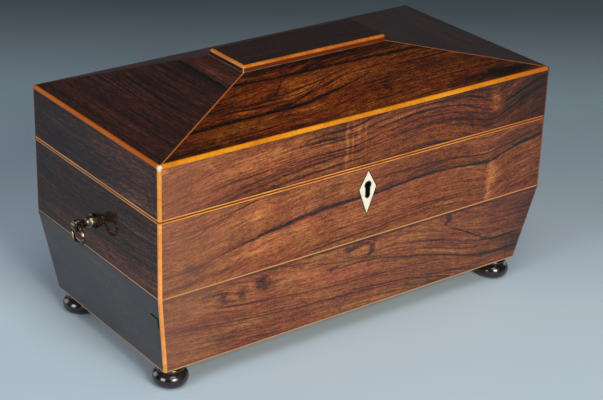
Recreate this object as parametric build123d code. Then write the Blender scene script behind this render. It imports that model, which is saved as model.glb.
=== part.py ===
from build123d import *

import math
import os

os.makedirs("parts", exist_ok=True)

# A rosewood box on four bun feet, of the kind made to hold tea.
# Millimetres. The origin is on the table, under the middle of the box.
# +X is to the right, the keyhole faces -Y, and +Z is up.

# ---- driving dimensions: the body -----------------------------------------------------
length = 322.0  # over the eaves, along X
depth = 159.0  # over the eaves, along Y
height = 191.5  # table to the top of the cap
upper_height = 54.7  # upright sides of the case, from its waist to the rim
splay_run = 9.3  # the case narrows by this much on each side, below its waist
seam = 0.4  # open line between case and lid
lid_side_height = 37.1  # upright side of the lid, up to the eave
roof_rise = 20.6  # eave to the foot of the cap
cap_length = 119.6
cap_depth = 40.8
cap_height = 4.5
board = 12.0  # softwood sides of case and lid
base_thick = 8.0
roof_board = 8.0  # roof boards, measured upright
ceiling_thick = 2.0

# ---- driving dimensions: veneer and stringing -----------------------------------------
veneer = 1.0  # rosewood on the sides
roof_veneer = 1.1  # rosewood on the roof, measured upright
corner_string = 2.0  # square boxwood lines down the corners
eave_string = 2.0  # square boxwood line round the eave
rim_string = 1.2  # lines above and below the seam
waist_string = 0.9
waist_string_lift = 1.1  # its lower edge above the bend
base_string = 1.1
hip_string = 1.0
cap_string = 2.0  # square line round the top edge of the cap
cap_foot_string = 0.5
arris = 1.8  # rounding of the upright corners
top_arris = 1.6  # rounding of the eave and of the cap's top edge

# ---- driving dimensions: feet ---------------------------------------------------------
foot_inset = 10.9  # foot centre from the lower edges of the case
foot_r = 12.1
foot_belly_z = 4.9
foot_base_r = 7.0
foot_top_r = 8.5  # where the bun ends
foot_bun_height = 11.0
foot_collar_r = 9.7
foot_collar_height = 3.0
foot_neck_r = 8.2
foot_neck = 1.6  # from the collar to the case
foot_groove = 0.4  # upright stretch between bun and collar
dowel_r = 3.5
dowel_length = 6.5

# ---- driving dimensions: ring handles -------------------------------------------------
handle_drop = 2.9  # handle centre below the middle of the upper panel
bell_r = 5.1
bell_rim = 2.2
bell_step = 0.5  # from the rim in to the bell
bell_length = 7.2
bell_swell = 0.66  # how full the bell is: a half makes a plain cone
post_neck_r = 2.0
collar_r = 2.9
collar_thick = 1.0
collar_gap = 0.4  # from the end of the bell to the collar
eye_r = 4.1
eye_thick = 4.0
eye_reach = 12.5  # eye centre from the panel
eye_play = 0.55  # round the wire of the ring
ring_half_width = 7.5  # to the middle of the wire, along Y
ring_half_height = 6.4
ring_side_r = 3.4  # radius of its two tight ends
ring_wire_r = 1.1
shank_r = 2.0
nut_size = 7.0
nut_thick = 2.6

# ---- driving dimensions: escutcheon and lock ------------------------------------------
lock_x = 1.0  # the lock stands a little right of the middle
kite_top = 4.0  # upper tip below the rim
kite_height = 30.6
kite_width = 13.9
kite_shoulder = 12.2  # widest point below the upper tip
kite_thick = 1.6
kite_proud = 0.1
kite_gap = 0.35  # dark filled line round the bone
key_drop = 9.9  # centre of the keyhole's round head, below the upper tip
key_head_r = 2.4
key_slot = 3.3
key_height = 11.7
lock_length = 38.0
lock_height = 24.0
lock_depth = 9.0
lock_wall = 1.2
selvedge_ear = 5.0  # the top plate is this much longer than the lock at each end
selvedge_margin = 1.2  # and this much wider, to the front
bolt_travel = 5.0
bolt_height = 2.4
bolt_thick = 1.8
bolt_end_gap = 1.3  # between the bolt and each end of the lock, at the ends of its travel
bolt_drop = 3.8  # top of the bolt below the rim
bolt_gap = 0.3
finger_thick = 1.2
finger_height = 2.0
lug_length = 1.8
hook_thick = 1.6
hook_width = 3.4
hook_drop = 7.4  # hook tip below the rim
hook_gap = 0.5
hook_spread = 16.0  # between the two hooks
hook_shift = 2.0  # middle of the hooks from the middle of the lock
eye_gap = 0.35  # between a finger and the hook it enters
link_thick = 1.2

# ---- driving dimensions: hinges and screws --------------------------------------------
hinge_length = 40.0
hinge_x = 90.0  # hinge centre from the middle of the box
hinge_out = 0.6  # pin centre behind the back of the box
leaf_width = 11.0
leaf_thick = 1.3
knuckle_r = 2.2
knuckle_count = 5
knuckle_gap = 0.3
knuckle_clear = 0.35
pin_r = 0.9
pin_clear = 0.06
screw_head_r = 1.6
screw_r = 0.9
screw_head = 1.0
screw_length = 8.0
screw_slot = 0.5
screw_spacing = 13.0
screw_set_in = 7.2  # screw row from the pin

# ---- driving dimensions: inside -------------------------------------------------------
lining = 2.5
lip = 3.2  # lining standing above the rim, into the lid
lip_clear = 0.25
partition = 4.0
divider_top = 5.8  # tops of dividers, canisters and deck, below the rim
deck_thick = 6.0
deck_margin = 7.0  # from the hole in the deck to the dividers
ledge = 4.0
fit_gap = 0.3
bowl_body_r = 44.0
bowl_play = 2.0  # round the bowl in its hole
bowl_rim_over = 6.0  # the rim stands out this far
bowl_foot_r = 18.0
bowl_depth = 66.0  # below the deck
bowl_wall = 3.0
canister_wall = 4.0
canister_lid_thick = 6.0
rail_depth = 12.0
foil = 0.4
knob_r = 5.0
knob_neck_r = 2.4
knob_height = 9.0
knob_peg_r = 1.5
can_hinge_length = 36.0
can_leaf = 0.8
can_leaf_height = 5.0
can_knuckle_r = 1.3
can_pin_r = 0.5
can_pin_rise = 0.35  # pin centre above the canister's lid

# ---- levels and half sizes worked out from them ---------------------------------------
half_length = length / 2
half_depth = depth / 2
foot_height = foot_bun_height + foot_groove + foot_collar_height + foot_neck
z_case = foot_height
z_top = height
z_cap = z_top - cap_height
z_eave = z_cap - roof_rise
z_lid = z_eave - lid_side_height
z_rim = z_lid - seam
z_waist = z_rim - upper_height
z_hinge = z_rim + seam / 2
handle_z = (z_waist + z_rim) / 2 - handle_drop
z_floor = z_case + base_thick
z_divider = z_rim - divider_top
cap_half_x = cap_length / 2
cap_half_y = cap_depth / 2
inner_x = half_length - veneer - board  # inner faces of the softwood
inner_y = half_depth - veneer - board
room_x = inner_x - lining  # inner faces of the lining
room_y = inner_y - lining
hollow_x = inner_x + lip_clear  # inner faces of the lid
hollow_y = inner_y + lip_clear
hinge_y = half_depth + hinge_out
deck_hole_r = bowl_body_r + bowl_play
bowl_rim_r = bowl_body_r + bowl_rim_over
well_half = deck_hole_r + deck_margin
FAR = 2 * length  # long enough to cut right through


# ---- shapes ---------------------------------------------------------------------------
def block(x0, x1, y0, y1, z0, z1):
    """A box between two corners."""
    box = Box(x1 - x0, y1 - y0, z1 - z0)
    return Pos((x0 + x1) / 2, (y0 + y1) / 2, (z0 + z1) / 2) * box


def middle(half_x, half_y, z0, z1):
    """A box about the middle of the plan."""
    return block(-half_x, half_x, -half_y, half_y, z0, z1)


def swept(points, travel):
    """A flat outline moved in a straight line."""
    outline = Face(Wire.make_polygon([Vector(*p) for p in points]))
    return Part() + Solid.extrude(outline, Vector(*travel))


def along_y(profile):
    """A mirrored XZ half outline, run right through along Y."""
    right = [(x, -FAR, z) for x, z in profile]
    left = [(-x, -FAR, z) for x, z in reversed(profile)]
    return swept(right + left, (0, 2 * FAR, 0))


def along_x(profile):
    """A mirrored YZ half outline, run right through along X."""
    back = [(-FAR, y, z) for y, z in profile]
    front = [(-FAR, -y, z) for y, z in reversed(profile)]
    return swept(back + front, (2 * FAR, 0, 0))


def upright(points, z0, z1):
    """A plan outline raised from z0 to z1."""
    return swept([(x, y, z0) for x, y in points], (0, 0, z1 - z0))


def rod(r, start, end):
    """A round bar from one point to another."""
    way = Vector(*end) - Vector(*start)
    base = Plane(origin=start, z_dir=way)
    bar = Cylinder(r, way.length, align=(Align.CENTER, Align.CENTER, Align.MIN))
    return base * bar


def turned(edges):
    """A profile in the XZ plane, with X as the radius, turned about Z."""
    return revolve(make_face(edges), axis=Axis.Z)


def side(solids, axis, last):
    """The first or last of a set of solids along an axis."""
    row = solids.solids().sort_by(axis)
    return row[-1] if last else row[0]


def upright_edges(shape):
    """The edges that run mostly up and down."""
    return [edge for edge in shape.edges() if abs(edge.tangent_at(0).Z) > 0.5]


def edges_at(shape, z):
    """The level edges at height z."""
    return [edge for edge in shape.edges() if abs(edge.center().Z - z) < 0.01]


def rounded_eave(line):
    """One side of the eave line, with its outer edge rounded."""
    edges = edges_at(line, z_eave)
    places = [(edge, edge.center()) for edge in edges]
    outer = [e for e, at in places if abs(at.X) > half_length - 0.01 or abs(at.Y) > half_depth - 0.01]
    return fillet(outer, top_arris)


def both_sides(shape):
    """A shape and its mirror image in the YZ plane."""
    return [shape, mirror(shape, about=Plane.YZ)]


def save(name, *pieces):
    """Write one node, made of the solids of all the pieces given."""
    solids = [solid for piece in pieces for solid in piece.solids()]
    export_step(Compound(solids), f"parts/{name}.step")


# ---- outer forms ----------------------------------------------------------------------
def case_profile(half, inset):
    """Half outline of the case: splayed below the waist and upright above."""
    foot = (half - splay_run - inset, z_case)
    waist = (half - inset, z_waist)
    return [foot, waist, (half - inset, z_rim)]


def case_form(inset):
    """The case as one solid, drawn in by inset on every side."""
    width = along_y(case_profile(half_length, inset))
    return width & along_x(case_profile(half_depth, inset))


def lid_profile(half, cap_half, inset, drop):
    """Half outline of the lid: an upright side and a sloping roof."""
    slope = roof_rise / (half - cap_half)
    eave = (half - inset, z_eave - drop + slope * inset)
    return [(half - inset, z_lid), eave, (cap_half, z_cap - drop)]


def lid_form(inset, drop):
    """The lid as one solid, drawn in at the sides and lowered at the roof."""
    width = along_y(lid_profile(half_length, cap_half_x, inset, drop))
    return width & along_x(lid_profile(half_depth, cap_half_y, inset, drop))


def frame(inset, z0, z1):
    """A flat band round the box, from the outer face in by inset."""
    outer = middle(half_length, half_depth, z0, z1)
    return outer - middle(half_length - inset, half_depth - inset, z0, z1)


def corner_posts(z0, z1):
    """Four square lines at the upright corners."""
    width = half_length - corner_string
    cross = middle(width, half_depth, z0, z1)
    cross += middle(half_length, half_depth - corner_string, z0, z1)
    return middle(half_length, half_depth, z0, z1) - cross


def rim_band(z0, z1):
    """A line at the seam, veneer deep and square at the corners."""
    return frame(veneer, z0, z1) + corner_posts(z0, z1)


def mitred(ring):
    """A ring of plan corners at 45 degrees, parted into its four sides."""
    reach = half_length + veneer
    short = reach - half_length + half_depth
    inner = reach - short
    front = upright([(-reach, -short), (reach, -short), (inner, 0), (-inner, 0)], 0, FAR)
    right = upright([(reach, -short), (reach, short), (inner, 0)], 0, FAR)
    sectors = [front, mirror(front, about=Plane.XZ), right, mirror(right, about=Plane.YZ)]
    return [ring & sector for sector in sectors]


# ---- case stringing -------------------------------------------------------------------
def case_corners():
    """Boxwood corner lines that follow the splay and stop under the rim line."""
    keep_x = along_y(case_profile(half_length, corner_string))
    keep_y = along_x(case_profile(half_depth, corner_string))
    lines = case_outer - keep_x - keep_y
    return lines - middle(FAR, FAR, z_rim - rim_string, z_top)


case_outer = fillet(upright_edges(case_form(0)), arris)
corners = case_corners()
case_skin = case_outer - case_form(veneer) - corners
rim_line = rim_band(z_rim - rim_string, z_rim) & case_outer
z_waist_line = z_waist + waist_string_lift
waist_line = case_skin & middle(FAR, FAR, z_waist_line, z_waist_line + waist_string)
base_line = case_skin & middle(FAR, FAR, z_case, z_case + base_string)

# ---- feet -----------------------------------------------------------------------------
foot_x = half_length - splay_run - foot_inset
foot_y = half_depth - splay_run - foot_inset


def foot_shape():
    """A turned bun foot with a collar and a dowel."""
    z_collar = foot_bun_height + foot_groove
    z_neck = z_collar + foot_collar_height
    z_dowel = foot_height + dowel_length
    bun_top = (foot_top_r, 0, foot_bun_height)
    bun = ThreePointArc((foot_base_r, 0, 0), (foot_r, 0, foot_belly_z), bun_top)
    groove = Polyline(bun_top, (foot_top_r, 0, z_collar))
    bulge = (foot_collar_r, 0, z_collar + foot_collar_height / 2)
    collar = ThreePointArc((foot_top_r, 0, z_collar), bulge, (foot_top_r, 0, z_neck))
    rest = Polyline(
        (foot_top_r, 0, z_neck), (foot_neck_r, 0, foot_height), (dowel_r, 0, foot_height),
        (dowel_r, 0, z_dowel), (0, 0, z_dowel), (0, 0, 0), (foot_base_r, 0, 0),
    )
    return turned(bun + groove + collar + rest)


foot_places = {
    "foot_front_left": (-foot_x, -foot_y),
    "foot_front_right": (foot_x, -foot_y),
    "foot_back_left": (-foot_x, foot_y),
    "foot_back_right": (foot_x, foot_y),
}
feet = {name: Pos(x, y, 0) * foot_shape() for name, (x, y) in foot_places.items()}

# ---- ring handles ---------------------------------------------------------------------
eye_x = half_length + eye_reach
eye_hole_r = ring_wire_r + eye_play
collar_at = bell_length + collar_gap


def handle_post():
    """A turned post on the right end, with an eye for the ring and a threaded shank."""
    bell_top_r = bell_r - bell_step
    bell_mid_r = post_neck_r + (bell_top_r - post_neck_r) * bell_swell
    bell_mid = (bell_mid_r, 0, bell_rim + (bell_length - bell_rim) * bell_swell)
    curve = ThreePointArc((bell_top_r, 0, bell_rim), bell_mid, (post_neck_r, 0, bell_length))
    collar_end = collar_at + collar_thick
    tail = -veneer - board
    rest = Polyline(
        (post_neck_r, 0, bell_length), (post_neck_r, 0, collar_at), (collar_r, 0, collar_at),
        (collar_r, 0, collar_end), (post_neck_r, 0, collar_end), (post_neck_r, 0, eye_reach),
        (0, 0, eye_reach), (0, 0, tail), (shank_r, 0, tail), (shank_r, 0, 0),
        (bell_r, 0, 0), (bell_r, 0, bell_rim), (bell_top_r, 0, bell_rim),
    )
    post = Pos(half_length, 0, handle_z) * Rot(0, 90, 0) * turned(curve + rest)
    half = eye_thick / 2
    eye = rod(eye_r, (eye_x, -half, handle_z), (eye_x, half, handle_z))
    hole = rod(eye_hole_r, (eye_x, -eye_thick, handle_z), (eye_x, eye_thick, handle_z))
    return post + fillet(eye.edges(), eye_thick / 8) - hole


def ring_path():
    """An oval of four tangent arcs in the YZ plane, hung from the eye."""
    side_y = ring_half_width - ring_side_r
    rise = ring_half_height - ring_side_r
    drop = (side_y**2 - rise**2) / (2 * rise)  # centre of the top arc below the middle
    lean = math.hypot(side_y, drop)
    join_y = side_y + ring_side_r * side_y / lean
    join_z = ring_side_r * drop / lean
    z = handle_z - ring_half_height
    places = [(-join_y, join_z), (join_y, join_z), (join_y, -join_z), (-join_y, -join_z)]
    mids = [(0, ring_half_height), (ring_half_width, 0), (0, -ring_half_height), (-ring_half_width, 0)]
    arcs = []
    for i, mid in enumerate(mids):
        start, end = places[i], places[(i + 1) % 4]
        points = [Vector(eye_x, y, z + h) for y, h in (start, mid, end)]
        arcs.append(Edge.make_three_point_arc(*points))
    return Wire(arcs)


def ring_shape():
    """The oval pull ring on the right end."""
    path = ring_path()
    start = path.position_at(0)
    section = Plane(origin=start, z_dir=path.tangent_at(0)) * Circle(ring_wire_r)
    return sweep(section, path=path)


def nut_block():
    """The outline of a square nut at the inner face of the right end board."""
    half = nut_size / 2
    return block(inner_x, inner_x + nut_thick, -half, half, handle_z - half, handle_z + half)


posts = both_sides(handle_post())
rings = both_sides(ring_shape())
nuts = both_sides(nut_block() - rod(shank_r, (0, 0, handle_z), (FAR, 0, handle_z)))
post_shanks = both_sides(rod(shank_r, (inner_x, 0, handle_z), (half_length, 0, handle_z)))
nut_pockets = both_sides(nut_block())

# ---- escutcheon and keyhole -----------------------------------------------------------
z_kite = z_rim - kite_top
z_key = z_kite - key_drop


def kite(y0, y1, grow):
    """The escutcheon's outline, made larger by grow all round and run from y0 to y1."""
    half = kite_width / 2
    z_wide = z_kite - kite_shoulder
    z_low = z_kite - kite_height
    upper = math.hypot(half, kite_shoulder) / half * grow
    lower = math.hypot(half, kite_height - kite_shoulder) / half * grow
    wide = half * (1 + upper / kite_shoulder)
    points = [
        (lock_x, y0, z_kite + upper), (lock_x + wide, y0, z_wide), (lock_x, y0, z_low - lower),
        (lock_x - wide, y0, z_wide),
    ]
    return swept(points, (0, y1 - y0, 0))


def keyhole(y0, y1):
    """A round head over a slot with a round foot, run from y0 to y1."""
    half = key_slot / 2
    z_foot = z_key + key_head_r - key_height + half
    head = rod(key_head_r, (lock_x, y0, z_key), (lock_x, y1, z_key))
    foot = rod(half, (lock_x, y0, z_foot), (lock_x, y1, z_foot))
    return head + foot + block(lock_x - half, lock_x + half, y0, y1, z_foot, z_key)


kite_back = kite_thick - kite_proud - half_depth
key_cut = keyhole(-half_depth - board, -inner_y - lock_depth + lock_wall)
escutcheon = kite(-half_depth - kite_proud, kite_back, 0) - key_cut
kite_bed = kite(-half_depth - board, kite_back, kite_gap)

# ---- screws ---------------------------------------------------------------------------
def screw(x, y, z, up):
    """A countersunk screw with its head at z, pointing up or down."""
    tip = screw_length - 2 * screw_r
    points = [
        (0, 0, 0), (screw_head_r, 0, 0), (screw_r, 0, -screw_head), (screw_r, 0, -tip),
        (0, 0, -screw_length), (0, 0, 0),
    ]
    body = turned(Polyline(*points))
    body -= block(-FAR, FAR, -screw_slot / 2, screw_slot / 2, -screw_slot, screw_slot)
    return Pos(x, y, z) * (Rot(180, 0, 0) * body if up else body)


def screw_bed(x, y, z, up):
    """The hole that a screw fills, head included."""
    way = 1 if up else -1
    head = Cone(screw_head_r, screw_r, screw_head, align=(Align.CENTER, Align.CENTER, Align.MIN))
    head = Pos(x, y, z) * (head if up else Rot(180, 0, 0) * head)
    return head + rod(screw_r, (x, y, z), (x, y, z + way * screw_length))


hinge_screw_y = hinge_y - screw_set_in
selvedge_length = lock_length + 2 * selvedge_ear
hinge_centres = [-hinge_x, hinge_x]
hinge_screw_x = [c + k * screw_spacing for c in hinge_centres for k in (-1, 0, 1)]
lock_front = -inner_y - lock_depth - selvedge_margin
lock_mid_y = (lock_front - inner_y) / 2
lock_screw_x = [lock_x + k * (lock_length + selvedge_length) / 4 for k in (-1, 1)]
case_screw_places = [(x, hinge_screw_y, z_rim, False) for x in hinge_screw_x]
case_screw_places += [(x, lock_mid_y, z_rim, False) for x in lock_screw_x]
lid_screw_places = [(x, hinge_screw_y, z_lid, True) for x in hinge_screw_x]
lid_screw_places += [(x, lock_mid_y, z_lid, True) for x in lock_screw_x]
case_screws = [screw(*place) for place in case_screw_places]
lid_screws = [screw(*place) for place in lid_screw_places]
case_screw_beds = Part() + [screw_bed(*place) for place in case_screw_places]
lid_screw_beds = Part() + [screw_bed(*place) for place in lid_screw_places]

# ---- lid hinges -----------------------------------------------------------------------
def knuckle_spans(centre, total, count, gap, first):
    """The X spans of every second knuckle, counted from the first given."""
    size = (total - gap * (count - 1)) / count
    start = centre - total / 2
    return [(start + i * (size + gap), start + i * (size + gap) + size) for i in range(first, count, 2)]


def lid_hinge_leaf(centre, on_lid):
    """One leaf of a butt hinge, with its own knuckles and room for the others."""
    own = knuckle_spans(centre, hinge_length, knuckle_count, knuckle_gap, 1 if on_lid else 0)
    other = knuckle_spans(centre, hinge_length, knuckle_count, knuckle_gap, 0 if on_lid else 1)
    z0 = z_lid if on_lid else z_rim - leaf_thick
    half = hinge_length / 2
    leaf = block(centre - half, centre + half, hinge_y - leaf_width, hinge_y, z0, z0 + leaf_thick)
    for x0, x1 in own:
        leaf += rod(knuckle_r, (x0, hinge_y, z_hinge), (x1, hinge_y, z_hinge))
    for x0, x1 in other:
        start, end = (x0 - knuckle_gap, hinge_y, z_hinge), (x1 + knuckle_gap, hinge_y, z_hinge)
        leaf -= rod(knuckle_r + knuckle_clear, start, end)
    hole = pin_r + pin_clear if on_lid else pin_r
    leaf -= rod(hole, (centre - half, hinge_y, z_hinge), (centre + half, hinge_y, z_hinge))
    return leaf - (lid_screw_beds if on_lid else case_screw_beds)


def hinge_room(centre):
    """What the hinge takes out of the wood: both leaves and the barrel."""
    half = hinge_length / 2
    x0, x1, y0 = centre - half, centre + half, hinge_y - leaf_width
    leaves = block(x0, x1, y0, hinge_y, z_rim - leaf_thick, z_lid + leaf_thick)
    start, end = (x0 - knuckle_gap, hinge_y, z_hinge), (x1 + knuckle_gap, hinge_y, z_hinge)
    return leaves + rod(knuckle_r + knuckle_clear, start, end)


def hinge_pin(centre):
    """The pin that runs the whole length of a lid hinge."""
    half = hinge_length / 2
    return rod(pin_r, (centre - half, hinge_y, z_hinge), (centre + half, hinge_y, z_hinge))


hinge_beds = Part() + [hinge_room(c) for c in hinge_centres]
case_leaves = [lid_hinge_leaf(c, False) for c in hinge_centres]
lid_leaves = [lid_hinge_leaf(c, True) for c in hinge_centres]
hinge_pins = [hinge_pin(c) for c in hinge_centres]

# ---- lock -----------------------------------------------------------------------------
lock_x0 = lock_x - lock_length / 2
lock_x1 = lock_x + lock_length / 2
lock_y0 = -inner_y - lock_depth
lock_y1 = -inner_y
z_lock = z_rim - lock_height
bolt_z1 = z_rim - bolt_drop
bolt_z0 = bolt_z1 - bolt_height
bolt_x0 = lock_x0 + lock_wall + bolt_end_gap
bolt_x1 = lock_x1 - lock_wall - bolt_end_gap - bolt_travel
bolt_y1 = lock_y1 - lock_wall - bolt_gap
bolt_y0 = bolt_y1 - bolt_thick
hook_y1 = bolt_y0 - bolt_gap
hook_y0 = hook_y1 - hook_width
hook_mid = (hook_y0 + hook_y1) / 2
hook_x = [lock_x + hook_shift + k * hook_spread / 2 for k in (-1, 1)]
finger_z0 = bolt_z1 - finger_height - (bolt_height - finger_height) / 2
finger_z1 = finger_z0 + finger_height


def lock_plate_bed():
    """The lock's outline: the case of the lock and its top plate."""
    half = selvedge_length / 2
    plate = block(lock_x - half, lock_x + half, lock_front, lock_y1, z_rim - lock_wall, z_rim)
    return plate + block(lock_x0, lock_x1, lock_y0, lock_y1, z_lock, z_rim)


def lock_shape():
    """A hollow brass lock with slots for the hooks and a shelf for the bolt."""
    wall = lock_wall
    x0, x1, y1 = lock_x0 + wall, lock_x1 - wall, lock_y1 - wall
    room = block(x0, x1, lock_y0 + wall, y1, z_lock + wall, z_rim - wall)
    shelf_z = bolt_z0 - bolt_gap
    shelf = block(x0, x1, bolt_y0 + bolt_gap / 3, y1, shelf_z - wall, shelf_z)
    key_way = block(lock_x - key_head_r, lock_x + key_head_r, lock_y0, y1, z_lock + wall, bolt_z0)
    lock = lock_plate_bed() - room + (shelf - key_way) - key_cut
    for x in hook_x:
        half = hook_thick / 2 + hook_gap
        lock -= block(x - half, x + half, hook_y0 - hook_gap, hook_y1 + hook_gap, z_rim - lock_wall, z_rim)
    return lock - case_screw_beds


def bolt_shape():
    """The sliding bolt: a bar with two fingers that enter the hooks."""
    bolt = block(bolt_x0, bolt_x1, bolt_y0, bolt_y1, bolt_z0, bolt_z1)
    talon = key_slot / 2
    notch = bolt_height / 3
    bolt -= block(lock_x - talon, lock_x + talon, bolt_y0, bolt_y1, bolt_z0, bolt_z0 + notch)
    finger_y0 = hook_mid - finger_thick / 2
    for x in hook_x:
        tip = x - hook_thick / 2 - hook_gap
        root = tip - bolt_travel
        bolt += block(root, tip, finger_y0, finger_y0 + finger_thick, finger_z0, finger_z1)
        bolt += block(root - lug_length, root, finger_y0, bolt_y0, finger_z0, finger_z1)
    return bolt


def link_block():
    """The flat plate of the link, let into the underside of the lid's front."""
    half = selvedge_length / 2
    y1 = lock_y1 - lock_wall
    return block(lock_x - half, lock_x + half, lock_front, y1, z_lid, z_lid + link_thick)


def link_shape():
    """The lid's link plate with two hooks that drop into the lock."""
    plate = link_block()
    gap = eye_gap
    for x in hook_x:
        x0, x1 = x - hook_thick / 2, x + hook_thick / 2
        plate += block(x0, x1, hook_y0, hook_y1, z_rim - hook_drop, z_lid)
        y0, y1 = hook_mid - finger_thick / 2 - gap, hook_mid + finger_thick / 2 + gap
        plate -= block(x0, x1, y0, y1, finger_z0 - gap, finger_z1 + gap)
    return plate - lid_screw_beds


lock_case = lock_shape()
lock_bolt = bolt_shape()
link_plate = link_shape()

# ---- case boards and veneers ----------------------------------------------------------
dowels = [rod(dowel_r, (x, y, 0), (x, y, z_case + dowel_length)) for x, y in foot_places.values()]
case_cuts = [corners, rim_line, hinge_beds, case_screw_beds, lock_plate_bed(), kite_bed, key_cut]
case_cuts += post_shanks + nut_pockets


def less(shape, cuts):
    """A shape with every cut taken out."""
    for cut in cuts:
        shape -= cut
    return shape


case_walls = less(case_form(veneer) - middle(inner_x, inner_y, 0, FAR), case_cuts)
case_front_board = case_walls & block(-FAR, FAR, -FAR, -inner_y, 0, FAR)
case_back_board = case_walls & block(-FAR, FAR, inner_y, FAR, 0, FAR)
case_left_board = case_walls & block(-FAR, -inner_x, -inner_y, inner_y, 0, FAR)
case_right_board = case_walls & block(inner_x, FAR, -inner_y, inner_y, 0, FAR)
base_board = less(middle(inner_x, inner_y, z_case, z_floor), dowels)

upper_skin = case_skin & middle(FAR, FAR, z_waist_line + waist_string, z_rim - rim_string)
lower_skin = case_skin & middle(FAR, FAR, z_case + base_string, z_waist_line)
upper_skin = less(upper_skin, [hinge_beds, kite_bed] + post_shanks)
lower_skin = lower_skin - kite_bed
waist_line = waist_line - kite_bed
rim_line = less(rim_line, [hinge_beds])

# ---- lining, dividers and deck --------------------------------------------------------
z_lip = z_rim + lip
lining_front = block(-inner_x, inner_x, -inner_y, -room_y, z_floor, z_lip)
lining_end = block(room_x, inner_x, -room_y, room_y, z_floor, z_lip)
lining_boards = [lining_front, mirror(lining_front, about=Plane.XZ)] + both_sides(lining_end)
z_deck = z_divider - deck_thick


def partition_shape():
    """The right divider, with a ledge that carries the deck."""
    wall = block(well_half, well_half + partition, -room_y, room_y, z_floor, z_divider)
    return wall + block(well_half - ledge, well_half, -room_y, room_y, z_deck - deck_thick, z_deck)


def deck_shape():
    """The board over the middle well, with a round hole for the bowl."""
    deck = middle(well_half - fit_gap, room_y - fit_gap, z_deck, z_divider)
    return deck - rod(deck_hole_r, (0, 0, z_deck), (0, 0, z_divider))


def bowl_shape():
    """A glass bowl hung in the deck by its rim."""
    low = z_divider - bowl_depth
    wall = bowl_wall
    swell = bowl_depth * 0.3
    brim = bowl_depth * 0.75
    swell_r = bowl_foot_r + (bowl_body_r - bowl_foot_r) * 0.75
    outer = ThreePointArc((bowl_foot_r, 0, low), (swell_r, 0, low + swell), (bowl_body_r, 0, low + brim))
    inside_r = bowl_body_r - wall
    well_r = bowl_foot_r - wall
    inner = ThreePointArc(
        (inside_r, 0, low + brim), (swell_r - wall, 0, low + swell + wall / 2), (well_r, 0, low + wall),
    )
    rim = Polyline(
        (bowl_body_r, 0, low + brim), (bowl_body_r, 0, z_divider), (bowl_rim_r, 0, z_divider),
        (bowl_rim_r, 0, z_divider + wall), (inside_r, 0, z_divider + wall), (inside_r, 0, low + brim),
    )
    floor = Polyline((well_r, 0, low + wall), (0, 0, low + wall), (0, 0, low), (bowl_foot_r, 0, low))
    return turned(outer + rim + inner + floor)


partitions = both_sides(partition_shape())
well_deck = deck_shape()
mixing_bowl = bowl_shape()

# ---- tea canisters --------------------------------------------------------------------
can_x0 = well_half + partition + fit_gap
can_x1 = room_x - fit_gap
can_y = room_y - fit_gap
can_mid = (can_x0 + can_x1) / 2
z_can_rim = z_divider - canister_lid_thick
joint_y = can_y - rail_depth  # front face of the rail
can_gap = fit_gap
can_pin_y = joint_y - can_gap / 2
z_can_pin = z_divider + can_pin_rise


def can_hinge_cut():
    """Room for the canister hinge's leaves and barrel."""
    half = can_hinge_length / 2
    x0, x1 = can_mid - half, can_mid + half
    reach = can_gap / 2 + can_leaf
    z0 = z_divider - can_leaf_height
    leaves = block(x0, x1, can_pin_y - reach, can_pin_y + reach, z0, z_divider)
    start, end = (x0 - fit_gap, can_pin_y, z_can_pin), (x1 + fit_gap, can_pin_y, z_can_pin)
    return leaves + rod(can_knuckle_r + fit_gap, start, end)


def canister_shape():
    """The right canister: a box with a fixed rail at its back."""
    wall = canister_wall
    box = block(can_x0, can_x1, -can_y, can_y, z_floor, z_can_rim)
    box -= block(can_x0 + wall, can_x1 - wall, -can_y + wall, can_y - wall, z_floor + wall, z_can_rim)
    return box + block(can_x0, can_x1, joint_y, can_y, z_can_rim, z_divider) - can_hinge_cut()


def foil_shape():
    """The metal foil tray inside the right canister."""
    wall = canister_wall
    x0, x1, y1 = can_x0 + wall, can_x1 - wall, can_y - wall
    tray = block(x0, x1, -y1, y1, z_floor + wall, z_can_rim)
    inner = block(x0 + foil, x1 - foil, -y1 + foil, y1 - foil, z_floor + wall + foil, z_can_rim)
    return tray - inner


def canister_lid_shape():
    """The right canister's lid, in front of the rail."""
    lid = block(can_x0, can_x1, -can_y, joint_y - can_gap, z_can_rim, z_divider)
    peg = rod(knob_peg_r, (can_mid, 0, z_can_rim), (can_mid, 0, z_divider))
    return lid - can_hinge_cut() - peg


def knob_shape():
    """A turned bone knob with a peg through the lid."""
    waist = knob_height * 0.3
    top = knob_height
    curve = ThreePointArc((knob_neck_r, 0, waist), (knob_r, 0, (waist + top) / 2), (knob_neck_r, 0, top))
    low = -canister_lid_thick
    rest = Polyline(
        (knob_neck_r, 0, top), (0, 0, top), (0, 0, low), (knob_peg_r, 0, low),
        (knob_peg_r, 0, 0), (knob_neck_r, 0, 0), (knob_neck_r, 0, waist),
    )
    return Pos(can_mid, 0, z_divider) * turned(curve + rest)


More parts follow.
